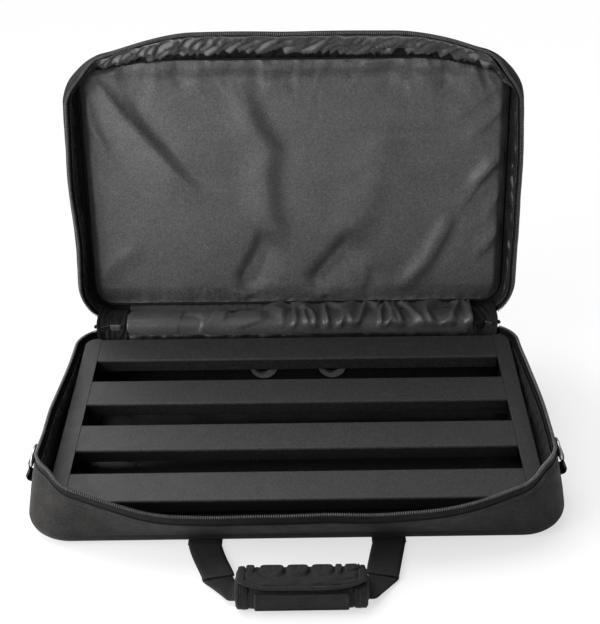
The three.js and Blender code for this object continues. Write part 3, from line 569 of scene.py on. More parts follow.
def shellOut(point, share, drop, s):
    # how far the cloth stands out of the plain wall; drop is the distance to the rim
    ease = sin(pi * min(max(share, 0), 1)) ** 0.7 * (1 - 0.88 * smooth((s.ny - 0.45) / 0.4))
    sag = shellLook["sag"] * wobble(point, shellLook["sagSize"], 3.1)
    dent = shellLook["dent"] * wobble(point, shellLook["dentSize"], 8.7)
    hem = shellLook["hemDepth"] * bell((drop - shellLook["hemDrop"]) / shellLook["hemWidth"])
    return (shellLook["swell"] + sag + dent) * ease - hem


def wallRows(wallPoint, tall, fromRim):
    # rows from the far end of a wall to the rim, close together near the hem
    parts = [drop / tall for drop in shellLook["hemRows"]] + list(shellLook["wallRows"])
    rows = []
    for part in reversed(parts):
        share = 1 - part if fromRim else part
        outs = [shellOut(wallPoint(i, share, 0.0), share, part * tall, rimPlan[i]) for i in allStations]
        rows.append([wallPoint(i, share, -outs[i]) for i in allStations])
    return rows


def quarterRound(radius):
    # inset and rise round an edge
    angles = [pi / 2 * share for share in shares(shellLook["roundSteps"])]
    return [(radius * (1 - sin(angle)), radius * (1 - cos(angle))) for angle in angles]


def rimRound(sign):
    # over the rim's edge: sign is -1 for the base and 1 for the lid
    thick, rows = case["rimWall"], []
    for angle in [pi * share for share in shares(shellLook["rimSteps"])]:
        inset, rise = thick / 2 * (1 - cos(angle)), thick * 0.32 * sin(angle)
        reach = case["zipReach"] + shellLook["rimOut"] - rise
        rows.append([rimPoint(i, inset, zipLine[i] + sign * reach) for i in allStations])
    return rows


def bindRim(made):
    # dark binding tape from the wall's last row over the rim to its inner edge
    made.data.materials.append(finishOf["binding"])
    first = shellLook["roundSteps"] + len(shellLook["hemRows"]) + len(shellLook["wallRows"])
    bound = range(first, first + shellLook["rimSteps"] + 2)
    for face in made.data.polygons:
        face.material_index = int(min(face.vertices) // len(rimPlan) in bound and len(face.vertices) == 4)
    return made


def makeBaseShell():
    rows = [[planPoint(s, inset, rise) for s in footPlan] for inset, rise in quarterRound(case["footRound"])]
    rows += wallRows(basePoint, case["baseWall"], True) + rimRound(-1)
    for share in (0.9, 0.65, 0.3, 0.0):
        rows.append([basePoint(i, share, mix(case["footWall"], case["rimWall"], share)) for i in allStations])
    rows.append([planPoint(s, case["footWall"] + case["footRound"] - case["floor"], case["floor"]) for s in footPlan])
    return bindRim(dress(solidMesh("base_cloth", rows), "base", "outer_nylon", "base_shell"))


def makeLidShell():
    top = case["height"]
    rows = [[planPoint(s, inset, top - rise) for s in rimPlan] for inset, rise in quarterRound(case["lidRound"])]
    rows += wallRows(lidWallPoint, case["lidSide"], False) + rimRound(1)
    for share in (0.1, 0.5, 1.0):
        rows.append([lidWallPoint(i, share, mix(case["rimWall"], case["lidWall"], share)) for i in allStations])
    rows.append([planPoint(s, case["lidWall"] + 0.002, top - case["lidTop"]) for s in rimPlan])
    return bindRim(dress(solidMesh("lid_cloth", opened(rows)), "lid", "outer_nylon", "lid_shell"))


baseCloth = makeBaseShell()
lidCloth = makeLidShell()
print("shells ready")

# Zip: tape, teeth and the stitched hem on both rims
zipLook = {
    "tapeThick": 0.0012, "tapeFar": 0.0122, "tapeNear": 0.0011, "sliderNear": 0.0036, "inset": 0.0025,
    "lowInset": 0.0013, "pitch": 0.0026, "toothWidth": 0.0040, "toothHeight": 0.0030, "toothLength": 0.0014,
    "gap": 0.0003,
    "stitchPitch": 0.0034, "stitchLength": 0.0023, "stitchRadius": 0.00032, "stitchRise": 0.0002,
}
tapeStations = range(case["steps"]["back"], len(rimPlan) - case["steps"]["back"] + 1)
chainSkip = case["steps"]["corner"] * 2 // 5


def zipTape(sign):
    half, rows = zipLook["tapeThick"] / 2, []
    for k, i in enumerate(tapeStations):
        clear = smooth((min(k, len(tapeStations) - 1 - k) - chainSkip) / 3)
        near = mix(zipLook["sliderNear"], zipLook["tapeNear"], clear)
        line = [(mix(zipLook["lowInset"], zipLook["inset"], smooth(share * 1.1)),
                 zipLine[i] + sign * mix(zipLook["tapeFar"], near, share)) for share in shares(4)]
        rows.append([rimPoint(i, inset - half, z) for inset, z in line]
                    + [rimPoint(i, inset + half, z) for inset, z in reversed(line)])
    return rows


def toothRings(centre, along, out, up):
    # a rounded bead across the tape
    rings = []
    for share, size in ((-0.5, 0.55), (-0.36, 1.0), (0.36, 1.0), (0.5, 0.55)):
        long, tall = size * zipLook["toothLength"] / 2, size * zipLook["toothHeight"] / 2
        rings.append(ringAround(centre + out * (share * zipLook["toothWidth"]), along * long, up * tall, 6))
    return rings


def zipTeeth(sign):
    away = sign * (zipLook["gap"] + zipLook["toothHeight"] / 2)
    path = [rimPoint(i, zipLook["inset"], zipLine[i] + away) for i in tapeStations[chainSkip:-chainSkip]]
    shapes = []
    for spot, along in resample(path, zipLook["pitch"]):
        out = along.cross(upward).normalized()
        shapes.append(toothRings(spot, along, out, out.cross(along)))
    return shapes


def stitchRings(start, end, radius, lift):
    # one stitch, a thin bead that dips at both ends
    side = (end - start).normalized().cross(lift).normalized()
    rings = []
    for share, size, rise in ((0, 0.45, -0.5), (0.2, 1, 0.35), (0.8, 1, 0.35), (1, 0.45, -0.5)):
        middle = start.lerp(end, share) + lift * (radius * rise)
        rings.append(ringAround(middle, side * radius * size, lift * radius * size, 5))
    return rings


def stitchLine(path, lifts, pitch=zipLook["stitchPitch"], length=zipLook["stitchLength"]):
    # lifts gives the way out of the cloth at a place
    shapes = []
    for spot, along in resample(path, pitch):
        half = along * (length / 2)
        shapes.append(stitchRings(spot - half, spot + half, zipLook["stitchRadius"], lifts(spot)))
    return shapes


def wallStitches(wallPoint, share):
    spots = []
    for i in tapeStations:
        s = rimPlan[i]
        out = shellOut(wallPoint(i, share, 0.0), share, shellLook["hemDrop"], s) + zipLook["stitchRise"]
        spots.append((wallPoint(i, share, -out), Vector((s.nx, s.ny, 0))))
    nearest = lambda spot: min(spots, key=lambda pair: (pair[0] - spot).length_squared)[1]
    return stitchLine([spot for spot, normal in spots], nearest)


def makeZip(body, sign, stitches, turned):
    # turned takes shapes from the closed case to their places at rest; the base's stay, as a list
    dress(solidMesh(f"{body}_zip_cloth", turned(zipTape(sign))), body, "trim", f"{body}_zip_tape")
    dress(looseMesh(f"{body}_zip_coil", turned(zipTeeth(sign))), body, "zip", f"{body}_zip_teeth")
    dress(looseMesh(f"{body}_hem_stitches", turned(stitches)), body, "trim", finish="thread")


makeZip("base", -1, wallStitches(basePoint, 1 - shellLook["hemDrop"] / case["baseWall"]), list)
makeZip("lid", 1, wallStitches(lidWallPoint, shellLook["hemDrop"] / case["lidSide"]), opened)
print("zip ready")

# Lining of the base: satin walls gathered under the rim, and the floor
liningLook = {
    "thick": 0.0008, "inset": 0.0014, "gather": 0.0046, "gatherSize": 0.010, "start": 0.006, "reach": 0.034,
    "billow": 0.0018, "billowSize": 0.05, "footSteps": 4, "floorRows": (0.9, 0.7, 0.45, 0.2),
    "wallRows": (0.98, 0.95, 0.92, 0.89, 0.86, 0.82, 0.78, 0.73, 0.68, 0.62, 0.55, 0.47, 0.38, 0.28, 0.18, 0.08, 0.0),
}


def makeBaseLining():
    rows = []
    for share in liningLook["wallRows"]:
        row = []
        depth = (1 - share) * case["baseWall"]
        inset = mix(case["footWall"], case["rimWall"], share) + liningLook["inset"]
        fade = smooth(depth / liningLook["start"]) * exp(-max(depth - liningLook["start"], 0) / liningLook["reach"])
        for i in allStations:
            plain = basePoint(i, share, inset)
            upright = Vector((plain.x, plain.y, plain.z * 0.35))
            gather = liningLook["gather"] * (0.75 - abs(2 * wobble(upright, liningLook["gatherSize"], 1.7))) * fade
            billow = liningLook["billow"] * (0.5 + wobble(plain, liningLook["billowSize"], 5.3))
            row.append(basePoint(i, share, inset + max(gather, 0) + max(billow * smooth(depth / 0.02), 0)))
        rows.append(row)
    foot = case["footRound"] - case["liningFloor"]
    for angle in [pi / 2 * share for share in shares(liningLook["footSteps"])[1:]]:
        inset = case["footWall"] + liningLook["inset"] + foot * (1 - cos(angle)) + 0.0004
        rows.append([planPoint(s, inset, case["footRound"] - foot * sin(angle)) for s in footPlan])
    edge = rows[-1]
    rows += [[Vector((p.x * shrink, p.y * shrink, p.z)) for p in edge] for shrink in liningLook["floorRows"]]
    made = thicken(gridMesh("base_lining_cloth", rows, wrap=True, capEnd=True), liningLook["thick"])
    return dress(made, "base", "lining", "base_lining")


baseLiningCloth = makeBaseLining()
print("base lining ready")

# Lid lining: a grey satin panel with its folds, drawn as lines in shares of the panel
panelLook = {
    "sideInset": 0.015, "frontInset": 0.0105, "backInset": 0.0155, "corner": 0.030, "thick": 0.0009, "drop": 0.0012,
    "turnUp": 0.013, "turnDrop": 0.019, "turnFrom": 0.024, "turnHalf": 0.31, "turnFade": 0.14,
    "columns": 210, "rows": 124, "billow": 0.0020, "billowSize": 0.11, "pucker": 0.0016, "puckerSize": 0.010,
    "puckerReach": 0.016, "bottomPucker": 0.0022, "bottomSize": 0.016, "bottomReach": 0.018,
    "topPucker": 0.0036, "topSize": 0.024, "topReach": 0.024, "float": 0.0060,
}
panelTop = case["height"] - case["lidTop"] - 0.003
panelFront = -halfDepth + panelLook["frontInset"]
panelBack = halfDepth - panelLook["backInset"]
panelHalf = case["rimHalfWidth"] - panelLook["sideInset"]

# each fold: points in shares, height, width on its left and on its right in metres
softFolds = [
    ([(0.03, 0.02), (0.100, 0.183), (0.172, 0.328), (0.228, 0.441), (0.285, 0.55)], 0.0085, 0.030, 0.0075),
    ([(0.10, 0.06), (0.160, 0.24), (0.230, 0.37)], -0.0030, 0.006, 0.020),
    ([(0.012, 0.107), (0.030, 0.232), (0.066, 0.365)], 0.0036, 0.012, 0.0060),
    ([(0.400, 0.01), (0.385, 0.110), (0.400, 0.222), (0.440, 0.330), (0.430, 0.440), (0.436, 0.600), (0.478, 0.820)],
     0.0064, 0.0260, 0.0140),
    ([(0.430, 0.01), (0.416, 0.120), (0.436, 0.222), (0.476, 0.330), (0.462, 0.440), (0.470, 0.600), (0.508, 0.790)],
     -0.0046, 0.0110, 0.0300),
    ([(0.735, 0.20), (0.716, 0.343), (0.660, 0.595), (0.580, 0.800)], 0.0070, 0.034, 0.022),
    ([(0.886, 0.555), (0.855, 0.68), (0.815, 0.815), (0.735, 0.975)], 0.0068, 0.0120, 0.0110),
    ([(0.900, 0.61), (0.870, 0.73), (0.830, 0.86)], -0.0036, 0.0060, 0.0120),
    ([(0.428, 0.66), (0.408, 0.770), (0.374, 0.880), (0.380, 0.98)], -0.0088, 0.0105, 0.0300),
    ([(0.645, 0.67), (0.600, 0.780), (0.545, 0.890), (0.552, 0.98)], -0.0088, 0.0110, 0.0310),
    ([(0.690, 0.82), (0.668, 1.000)], -0.0030, 0.0060, 0.0150),
    ([(1.03, 0.30), (0.976, 0.391), (0.915, 0.500)], 0.0056, 0.0110, 0.0060),
    ([(0.995, 0.34), (0.937, 0.469), (0.880, 0.620)], 0.0052, 0.0130, 0.0060),
    ([(1.03, 0.60), (0.970, 0.720), (0.930, 0.820)], 0.0054, 0.0120, 0.0070),
    ([(1.01, 0.04), (0.950, 0.110), (0.850, 0.240)], 0.0050, 0.0150, 0.0090),
    ([(1.02, 0.12), (0.960, 0.210), (0.890, 0.330)], 0.0046, 0.0120, 0.0070),
    ([(1.02, 0.46), (0.975, 0.56), (0.945, 0.66)], 0.0036, 0.0080, 0.0060),
    ([(0.005, 0.90), (0.060, 0.80), (0.140, 0.72)], 0.0026, 0.0150, 0.0110),
]
# gathers that fan out under the front edge
topGathers = [
    ([(0.085, -0.02), (0.094, 0.120)], 0.0052, 0.0100, 0.0090),
    ([(0.187, -0.02), (0.183, 0.130)], 0.0038, 0.0110, 0.0150),
    ([(0.232, -0.02), (0.240, 0.100)], -0.0016, 0.0070, 0.0080),
    ([(0.280, -0.02), (0.276, 0.140)], 0.0040, 0.0120, 0.0150),
    ([(0.356, -0.02), (0.350, 0.090)], -0.0020, 0.0060, 0.0060),
    ([(0.440, -0.02), (0.448, 0.150)], 0.0054, 0.0120, 0.0140),
    ([(0.535, -0.02), (0.528, 0.110)], 0.0032, 0.0110, 0.0110),
    ([(0.620, -0.02), (0.612, 0.110)], 0.0038, 0.0130, 0.0120),
    ([(0.725, -0.02), (0.712, 0.150)], -0.0050, 0.0140, 0.0160),
    ([(0.805, -0.02), (0.796, 0.150)], 0.0066, 0.0130, 0.0130),
    ([(0.852, -0.02), (0.845, 0.140)], -0.0050, 0.0070, 0.0070),
    ([(0.920, -0.02), (0.906, 0.150)], 0.0060, 0.0120, 0.0120),
]
# thin creases
crispFolds = [
    ([(0.700, 0.050), (0.776, 0.048), (0.809, 0.070), (0.825, 0.110)], 0.0010, 0.0020, 0.0016),
    ([(0.21, 0.262), (0.441, 0.276), (0.654, 0.268), (0.880, 0.272)], 0.0010, 0.0020, 0.0024),
    ([(0.362, 1.005), (0.372, 0.945)], 0.0040, 0.0060, 0.0120),
    ([(0.549, 1.005), (0.560, 0.945)], 0.0040, 0.0060, 0.0120),
]


def foldsIn(folds, left, right, front, back):
    # from shares of a cloth to metres
    place = lambda u, v: (mix(left, right, u), mix(front, back, v))
    return [([place(u, v) for u, v in line], *widths) for line, *widths in folds]


softFolds, topGathers, crispFolds = [foldsIn(folds, -panelHalf, panelHalf, panelFront, panelBack)
                                     for folds in (softFolds, topGathers, crispFolds)]


def frontShare(x):
    # 1 along the lid's front, 0 at its corners
    return smooth((panelLook["turnHalf"] - abs(x)) / panelLook["turnFade"])


def turnedUp(x, y):
    # the panel's front edge climbs the leaning front wall
    near = smooth((panelFront + panelLook["turnFrom"] - y) / panelLook["turnFrom"])
    return Vector((0, -panelLook["turnUp"] * near, -panelLook["turnDrop"] * near ** 1.6)) * frontShare(x)


def panelPoint(cu, cv):
    y = mix(panelFront, panelBack, cv)
    near = max(panelFront + panelLook["corner"] - y, y - panelBack + panelLook["corner"], 0)
    half = panelHalf - panelLook["corner"] + sqrt(max(panelLook["corner"] ** 2 - near ** 2, 0))
    x = mix(-half, half, cu)
    down, up = y - panelFront, panelBack - y
    edge = min(half - abs(x), down, up)
    rise = (panelLook["float"] + foldsAt(x, y, softFolds, 0.25, 0.0)) * smooth(up / 0.030)
    rise += foldsAt(x, y, topGathers, 0.9, -0.6, 9.0, 1.3) + foldsAt(x, y, crispFolds, 0.8, -0.35, 8.0, 8.0)
    rise += panelLook["billow"] * wobble((x, y, 0), panelLook["billowSize"], 2.3)
    rise *= smooth(edge / 0.012)
    fade = exp(-edge / panelLook["puckerReach"]) * smooth(edge / 0.003)
    rise += panelLook["pucker"] * wobble((x, y, 0), panelLook["puckerSize"], 9.1) * fade
    slanted = (x + 0.5 * down * sin(x / 0.05), down * 0.3, 0)
    crest = max(1 - abs(2.6 * wobble(slanted, panelLook["topSize"], 6.6)), 0)
    rise += panelLook["topPucker"] * crest * exp(-down / panelLook["topReach"]) * smooth(down / 0.004)
    fade = exp(-up / panelLook["bottomReach"]) * smooth(up / 0.003)
    rise += panelLook["bottomPucker"] * wobble((x, 0, 0), panelLook["bottomSize"], 4.4) * fade
    return Vector((x, y, panelTop - panelLook["drop"] - max(rise, -panelLook["drop"]))) + turnedUp(x, y)


def makeLidPanel():
    rows = []
    for angle in [pi * share for share in shares(panelLook["rows"])]:
        # rows lie closer together near the front and back edges
        cv = 0.5 - 0.5 * cos(angle) * (1 - 0.12 * sin(angle) ** 2)
        rows.append([panelPoint(cu, cv) for cu in shares(panelLook["columns"])])
    made = thicken(gridMesh("lid_panel_cloth", opened(rows)), panelLook["thick"], 1.0)
    return dress(made, "lid", "lid_lining", "lid_lining_panel")


lidPanelCloth = makeLidPanel()
print("lid panel ready")

# Puckered satin on the lid's walls: a lighter, shinier lit copy at the front and a dark shaded copy at the sides and
# back, as painted light and shade
wallLook = {
    "thick": 0.0008, "inset": 0.0013, "rows": 26, "turnAt": 0.8, "stop": 0.30, "darkRows": 11, "litFrontHalf": 0.14,
    "pleat": 0.0125, "pleatSize": 0.0125, "slant": 1.3, "loudSize": 0.12, "billow": 0.0022, "billowSize": 0.045,
    "tuck": 0.0022, "tuckSize": 0.0055, "tuckReach": 0.16,
}
panelPlan = planOutline(panelHalf, panelFront, panelBack, panelLook["corner"])
around = travel([(s.x, s.y) for s in rimPlan])


def wallPlain(i, share):
    # the wall without pleats: up the lid's side, then in to the panel's edge
    s, p = rimPlan[i], panelPlan[i]
    inset = mix(case["rimWall"], case["lidWall"], share) + wallLook["inset"]
    top = 1.0 - (wallLook["stop"] * frontShare(s.x) if s.ny < -0.7 else 0)
    if share < wallLook["turnAt"]:
        return lidWallPoint(i, top * share / wallLook["turnAt"], inset)
    turn = (share - wallLook["turnAt"]) / (1 - wallLook["turnAt"])
    start = lidWallPoint(i, top, inset)
    end = planPoint(p, -0.001, panelTop - panelLook["drop"]) + turnedUp(p.x, p.y)
    plain = start.lerp(end, smooth(turn))
    plain.z = mix(start.z, end.z, sin(turn * pi / 2))
    return plain


def wallPush(i, share):
    # pleats, slow billows and small tucks at both seams
    s, at = rimPlan[i], around[i]
    loud = max(0.75 + 0.45 * wobble((at, 3.0, 0), wallLook["loudSize"], 6.0), 0.15)
    loud *= mix(0.35, 1.0, smooth((-s.ny - 0.2) / 0.5)) * mix(1.0, 1.3, smooth(s.x / 0.15))
    slanted = (at + share * 0.05 * wallLook["slant"], share * 0.022, 0.0)
    crest = 1 - abs(2.6 * wobble(slanted, wallLook["pleatSize"], 0.4))
    pleat = wallLook["pleat"] * loud * crest * sin(pi * min(share * 1.1, 1)) ** 0.6
    billow = wallLook["billow"] * (0.5 + wobble((at, share * 0.05, 0), wallLook["billowSize"], 3.9)) * sin(pi * share)
    tuck = wallLook["tuck"] * (0.5 - abs(2 * wobble((at, share * 0.006, 5.0), wallLook["tuckSize"], 2.2)))
    tuck *= exp(-share / wallLook["tuckReach"]) + exp(-(1 - share) / wallLook["tuckReach"])
    return max(pleat, 0) + max(billow, 0) + tuck * smooth(share / 0.05)


def makeLidWalls():
    inwards = [Vector((-s.nx, -s.ny, -0.25)).normalized() for s in rimPlan]
    rows = [[wallPlain(i, share) + inwards[i] * wallPush(i, share) for i in allStations]
            for share in shares(wallLook["rows"])]
    made = thicken(gridMesh("lid_wall_cloth", opened(rows), wrap=True), wallLook["thick"])
    dress(made, "lid", "lining", "lid_wall_lining", finish="liningLitSatin")
    # painted shade: the sides and back get the dark lining, a shaded copy of the satin whose lit copy covers the
    # front wall; dark binding where the seam's allowance lies along the panel
    made.data.materials.append(finishOf["liningBlack"])
    made.data.materials.append(finishOf["binding"])
    for face in made.data.polygons:
        row, i = divmod(min(face.vertices), len(rimPlan))
        shadedSide = abs(rimPlan[i].nx) > wallLook["litFrontHalf"] or rimPlan[i].ny > 0.5
        face.material_index = 2 if row >= wallLook["rows"] - wallLook["darkRows"] else 1 if shadedSide else 0
    return made


lidWallCloth = makeLidWalls()
print("lid walls ready")

# Piping round the panel
pipingLook = {"radius": 0.0023, "drop": 0.0024, "sides": 10, "wander": 0.0005, "wanderSize": 0.04,
              "uneven": 0.1, "unevenSize": 0.012}


def makePiping():
    rows = []
    for s in panelPlan:
        out = Vector((s.nx, s.ny, 0))
        middle = Vector((s.x, s.y, panelTop - pipingLook["drop"])) + turnedUp(s.x, s.y)
        middle += out * pipingLook["wander"] * wobble(middle, pipingLook["wanderSize"], 7.7)
        radius = pipingLook["radius"] * (1 + pipingLook["uneven"] * wobble(middle, pipingLook["unevenSize"], 1.1))
        rows.append(ringAround(middle, out * radius, upward * -radius, pipingLook["sides"]))
    made = gridMesh("lid_panel_piping", opened(rows), wrap=True, loop=True)
    return dress(made, "lid", "trim", "lid_panel_binding")


makePiping()

# The strip of satin over the hinge, smooth at the left and creased to the right
stripLook = {
    "half": 0.258, "left": -0.251, "columns": 230, "rows": 40, "thick": 0.0010, "high": 0.045,
    "pleat": 0.0068, "pleatSize": 0.0170, "slant": 0.45, "tuck": 0.0026, "tuckSize": 0.0045,
    "dent": 0.0016, "dentSize": 0.05,
    # side view: places up the base and over the hinge line, then insets and heights in the closed lid
    "low": ((0.1790, 0.056), (0.1804, 0.075), (0.1816, 0.087), (0.1850, 0.0965), (0.1925, 0.1012)), "lidGap": 0.0012,
    "up": ((0.0010, 0.106), (0.0024, 0.116), (0.0040, 0.126), (0.0054, 0.1330), (0.0062, 0.1362)),
}
# each crease: points in shares along the strip and up it, height, width on its left and on its right
stripCreases = [
    ([(0.388, 0.46), (0.396, 0.05)], 0.0034, 0.0080, 0.0300),
    ([(0.262, 0.50), (0.300, 0.28)], 0.0028, 0.0090, 0.0090),
    ([(0.318, 0.62), (0.322, 0.36)], -0.0030, 0.0050, 0.0060),
    ([(0.165, 0.22), (0.230, 0.05)], -0.0040, 0.0090, 0.0100),
    ([(0.455, 1.0), (0.430, 0.62), (0.470, 0.30)], 0.0056, 0.0120, 0.0080),
    ([(0.505, 1.0), (0.515, 0.55)], 0.0050, 0.0080, 0.0070),
    ([(0.000, 0.42), (0.220, 0.40), (0.420, 0.46)], 0.0022, 0.0040, 0.0060),
]
stripCreases = foldsIn(stripCreases, -stripLook["half"], stripLook["half"], 0, stripLook["high"])


def stripPush(x, share):
    rise = (share - 0.3) / 0.7 * stripLook["high"]
    push = foldsAt(x, rise, stripCreases, 0.95, 0.3, 14.0, 5.0) * smooth(share / 0.25) * smooth((1 - share) / 0.03)
    # ridged pleats over the right half, slanting both ways
    slanted = (x + stripLook["slant"] * rise * sin(x / 0.021), rise * 0.5, 0)
    ridge = max(0.95 - abs(2.6 * wobble(slanted, stripLook["pleatSize"], 3.3)), 0)
    fade = smooth((x + 0.05) / 0.09) * smooth((share - 0.20) / 0.16) * smooth((1 - share) / 0.10)
    push += stripLook["pleat"] * ridge * fade
    push += stripLook["dent"] * wobble((x, share * 0.1, 0), stripLook["dentSize"], 8.8) * sin(pi * share)
    tuck = stripLook["tuck"] * (0.4 - abs(2 * wobble((x, 0, 0), stripLook["tuckSize"], 5.5)))
    return max(push + tuck * exp(-(1 - share) / 0.10) * smooth((x + 0.24) / 0.08), -0.0012)


def makeHingeStrip():
    lidInner = halfDepth - case["lidWall"] - stripLook["lidGap"]
    line = [Vector((0, y, z)) for y, z in stripLook["low"]]
    line += [opened(Vector((0, lidInner - inset, z))) for inset, z in stripLook["up"]]
    spots = curveThrough(line, stripLook["rows"])
    rows = []
    for k, spot in enumerate(spots):
        tangent = heading(spots, k)
        normal = Vector((0, -tangent.z, tangent.y))
        columns = [mix(stripLook["left"], stripLook["half"], share) for share in shares(stripLook["columns"])]
        rows.append([Vector((x, spot.y, spot.z)) + normal * stripPush(x, k / stripLook["rows"]) for x in columns])
    made = thicken(gridMesh("hinge_strip_cloth", rows), stripLook["thick"])
    dress(made, None, "lining", "hinge_gusset", finish="liningSatin")
    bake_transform(made)
    return made


hingeStrip = makeHingeStrip()
print("hinge strip ready")

# Puckered cloths in the two back corners, between the rims of base and lid
cornerLook = {
    "straight": 0.014, "turn": radians(38), "columns": 44, "rows": 40, "thick": 0.0008,
    "pucker": 0.0026, "puckerSize": 0.0105,
    # insets and heights up the base, where the rims meet, and up the closed lid
    "low": ((0.0080, 0.060), (0.0122, 0.074), (0.0080, 0.0845)), "meet": ((0.0036, 0.0925), (0.0036, 0.0955)),
    "up": ((0.0080, 0.1035), (0.0122, 0.114), (0.0080, 0.130)),
}


def makeCornerCloth(side, tag):
    corner = case["rimCorner"]
    width = cornerLook["straight"] + corner * cornerLook["turn"]
    columns = []
    for share in shares(cornerLook["columns"]):
        over = width * share - cornerLook["straight"]
        angle = max(over, 0) / corner
        nx, ny = sin(angle), cos(angle)
        x, y = case["rimHalfWidth"] - corner + min(over, 0) + corner * nx, halfDepth - corner + corner * ny
        at = lambda inset, z: Vector((side * (x - nx * inset), y - ny * inset, z))
        meet = [at(*spot) for spot in cornerLook["meet"]]
        line = [at(*spot) for spot in cornerLook["low"]] + [(meet[0] + opened(meet[1])) / 2]
        line += [opened(at(*spot)) for spot in cornerLook["up"]]
        columns.append(curveThrough(line, cornerLook["rows"]))
    rows = []
    for r, share in enumerate(shares(cornerLook["rows"])):
        across = [column[r] for column in columns]
        row = []
        for c, column in enumerate(columns):
            inward = heading(across, c).cross(heading(column, r)).normalized() * side
            slanted = (c / cornerLook["columns"] * width + 0.012 * share, 0.020 * share, 0)
            crest = max(0.9 - abs(2.2 * wobble(slanted, cornerLook["puckerSize"], 4.0 + side)), -0.3)
            row.append(column[r] + inward * (cornerLook["pucker"] * crest * sin(pi * share) ** 0.5))
        rows.append(row)
    made = thicken(gridMesh(f"corner_cloth_{tag}", rows), cornerLook["thick"])
    dress(made, None, "lining", finish="binding")
    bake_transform(made)


for side, tag in sides:
    makeCornerCloth(side, tag)
print("corner cloths ready")

# Ribbed webbing: a ribbon between two edges, with ribs across it
webLook = {"thick": 0.0024, "ribPitch": 0.0028, "rib": 0.00046, "across": 12, "edge": 0.0009}


def ribbonRows(leftEdge, rightEdge, upAt, thick=webLook["thick"], across=webLook["across"]):
    # closed rows round a ribbon whose edges and thickness direction are given for each step
    rows = []
    run = travel([(a + b) / 2 for a, b in zip(leftEdge, rightEdge)])
    for a, b, up, at in zip(leftEdge, rightEdge, upAt, run):
        rib = webLook["rib"] * cos(2 * pi * at / webLook["ribPitch"])
        over, under = [], []
        for share in shares(across):
            full = smooth(min(share, 1 - share) * (b - a).length / webLook["edge"] + 0.35)
            over.append(a.lerp(b, share) + up * (thick / 2 + rib) * full)
            under.append(a.lerp(b, share) - up * (thick / 2 - 0.3 * rib) * full)
        rows.append(over + under[::-1])
    return rows


# Handle: two straps from the front seam to a padded grip that lies on the ground
handle = {
    "hingeY": -0.1965, "strapAt": 0.110, "reach": 0.094, "lean": 0.006, "floorGap": 0.0003,
    "halfDepth": 0.022, "halfHeight": 0.0165, "halfLength": 0.073, "roundPower": 0.62,
    "upperSteps": 190, "lowerSteps": 130, "strapRise": 0.0018, "strapBack": 0.0004,
    "rolled": ((0.0006, 0.0003), (0.0010, 0.0009), (0.0011, 0.0016)),
    "rootHalf": 0.0205, "rootDeep": 0.0122, "rootThick": 0.0013, "rootRise": 0.0008, "rootSteps": 24,
}
gripY = handle["hingeY"] - handle["reach"]
gripZ = handle["halfHeight"] + handle["floorGap"]
# a strap's two edges: distance from the middle, distance from the case and rise above the floor
strapUpper = {
    "outer": [(0.1296, 0.000, 0.0000), (0.1258, 0.016, 0.0006), (0.1214, 0.032, 0.0014), (0.1168, 0.048, 0.0030),
              (0.1120, 0.0645, 0.0046)],
    "inner": [(0.0900, 0.000, 0.0000), (0.0866, 0.014, 0.0006), (0.0828, 0.029, 0.0016), (0.0788, 0.044, 0.0036),
              (0.0753, 0.0586, 0.0056)],
}
strapLower = {
    "outer": [(0.1130, 0.0590, 0.0006), (0.1110, 0.0665, 0.0010), (0.1015, 0.0775, 0.0020), (0.0905, 0.0905, 0.0034),
              (0.0825, 0.1000, 0.0046), (0.0745, 0.1030, 0.0064)],
    "inner": [(0.0800, 0.0500, 0.0022), (0.0785, 0.0570, 0.0026), (0.0770, 0.0620, 0.0040), (0.0755, 0.0690, 0.0070),
              (0.0745, 0.0755, 0.0110)],
}


def strapRibbon(side, edges, steps):
    y0, z0 = handle["hingeY"] - handle["strapBack"], handle["floorGap"] + handle["strapRise"]
    lines = []
    for name in ("outer", "inner"):
        spots = curveThrough([Vector((side * x, y0 - y, z0 + rise)) for x, y, rise in edges[name]], steps)
        for p in spots:
            # the whole handle leans to the right
            p.x += handle["lean"] * smooth((handle["hingeY"] - p.y) / handle["reach"])
        lines.append(spots)
    return ribbonRows(*lines, [upward] * (steps + 1))


def makeStrap(side, tag):
    upper = strapRibbon(side, strapUpper, handle["upperSteps"])
    # the turned end rolls over at the crease
    crease = upper[-1]
    upper += [[Vector((p.x, p.y - out, p.z - drop)) for p in crease] for out, drop in handle["rolled"]]
    dress(solidMesh(f"strap_webbing_{tag}", upper), "handle", "webbing", f"handle_strap_{tag}")
    lower = strapRibbon(side, strapLower, handle["lowerSteps"])
    dress(solidMesh(f"strap_fold_{tag}", lower), "handle", "webbing")


def makeAnchor(side, tag):
    ys = [handle["hingeY"] + 0.0003 + handle["rootDeep"] * share for share in shares(handle["rootSteps"])]
    z = handle["floorGap"] + handle["rootRise"]
    xs = [side * handle["strapAt"] + half for half in (-handle["rootHalf"], handle["rootHalf"])]
    edges = [[Vector((x, y, z)) for y in ys] for x in xs]
    rows = ribbonRows(*edges, [upward] * len(ys), handle["rootThick"])
    dress(solidMesh(f"strap_root_{tag}", rows), "base", "webbing", f"handle_anchor_{tag}")


def overGrip(x, angle, grow):
    # a place on the grip's rounded box, or that much above it
    c, s = cos(angle), sin(angle)
    power = handle["roundPower"]
    return Vector((x + handle["lean"], gripY + (handle["halfDepth"] + grow) * copysign(abs(c) ** power, c),
                   gripZ + (handle["halfHeight"] + grow) * copysign(abs(s) ** power, s)))


def gripRing(x, grow, count):
    return [overGrip(x, 2 * pi * k / count, grow) for k in range(count)]


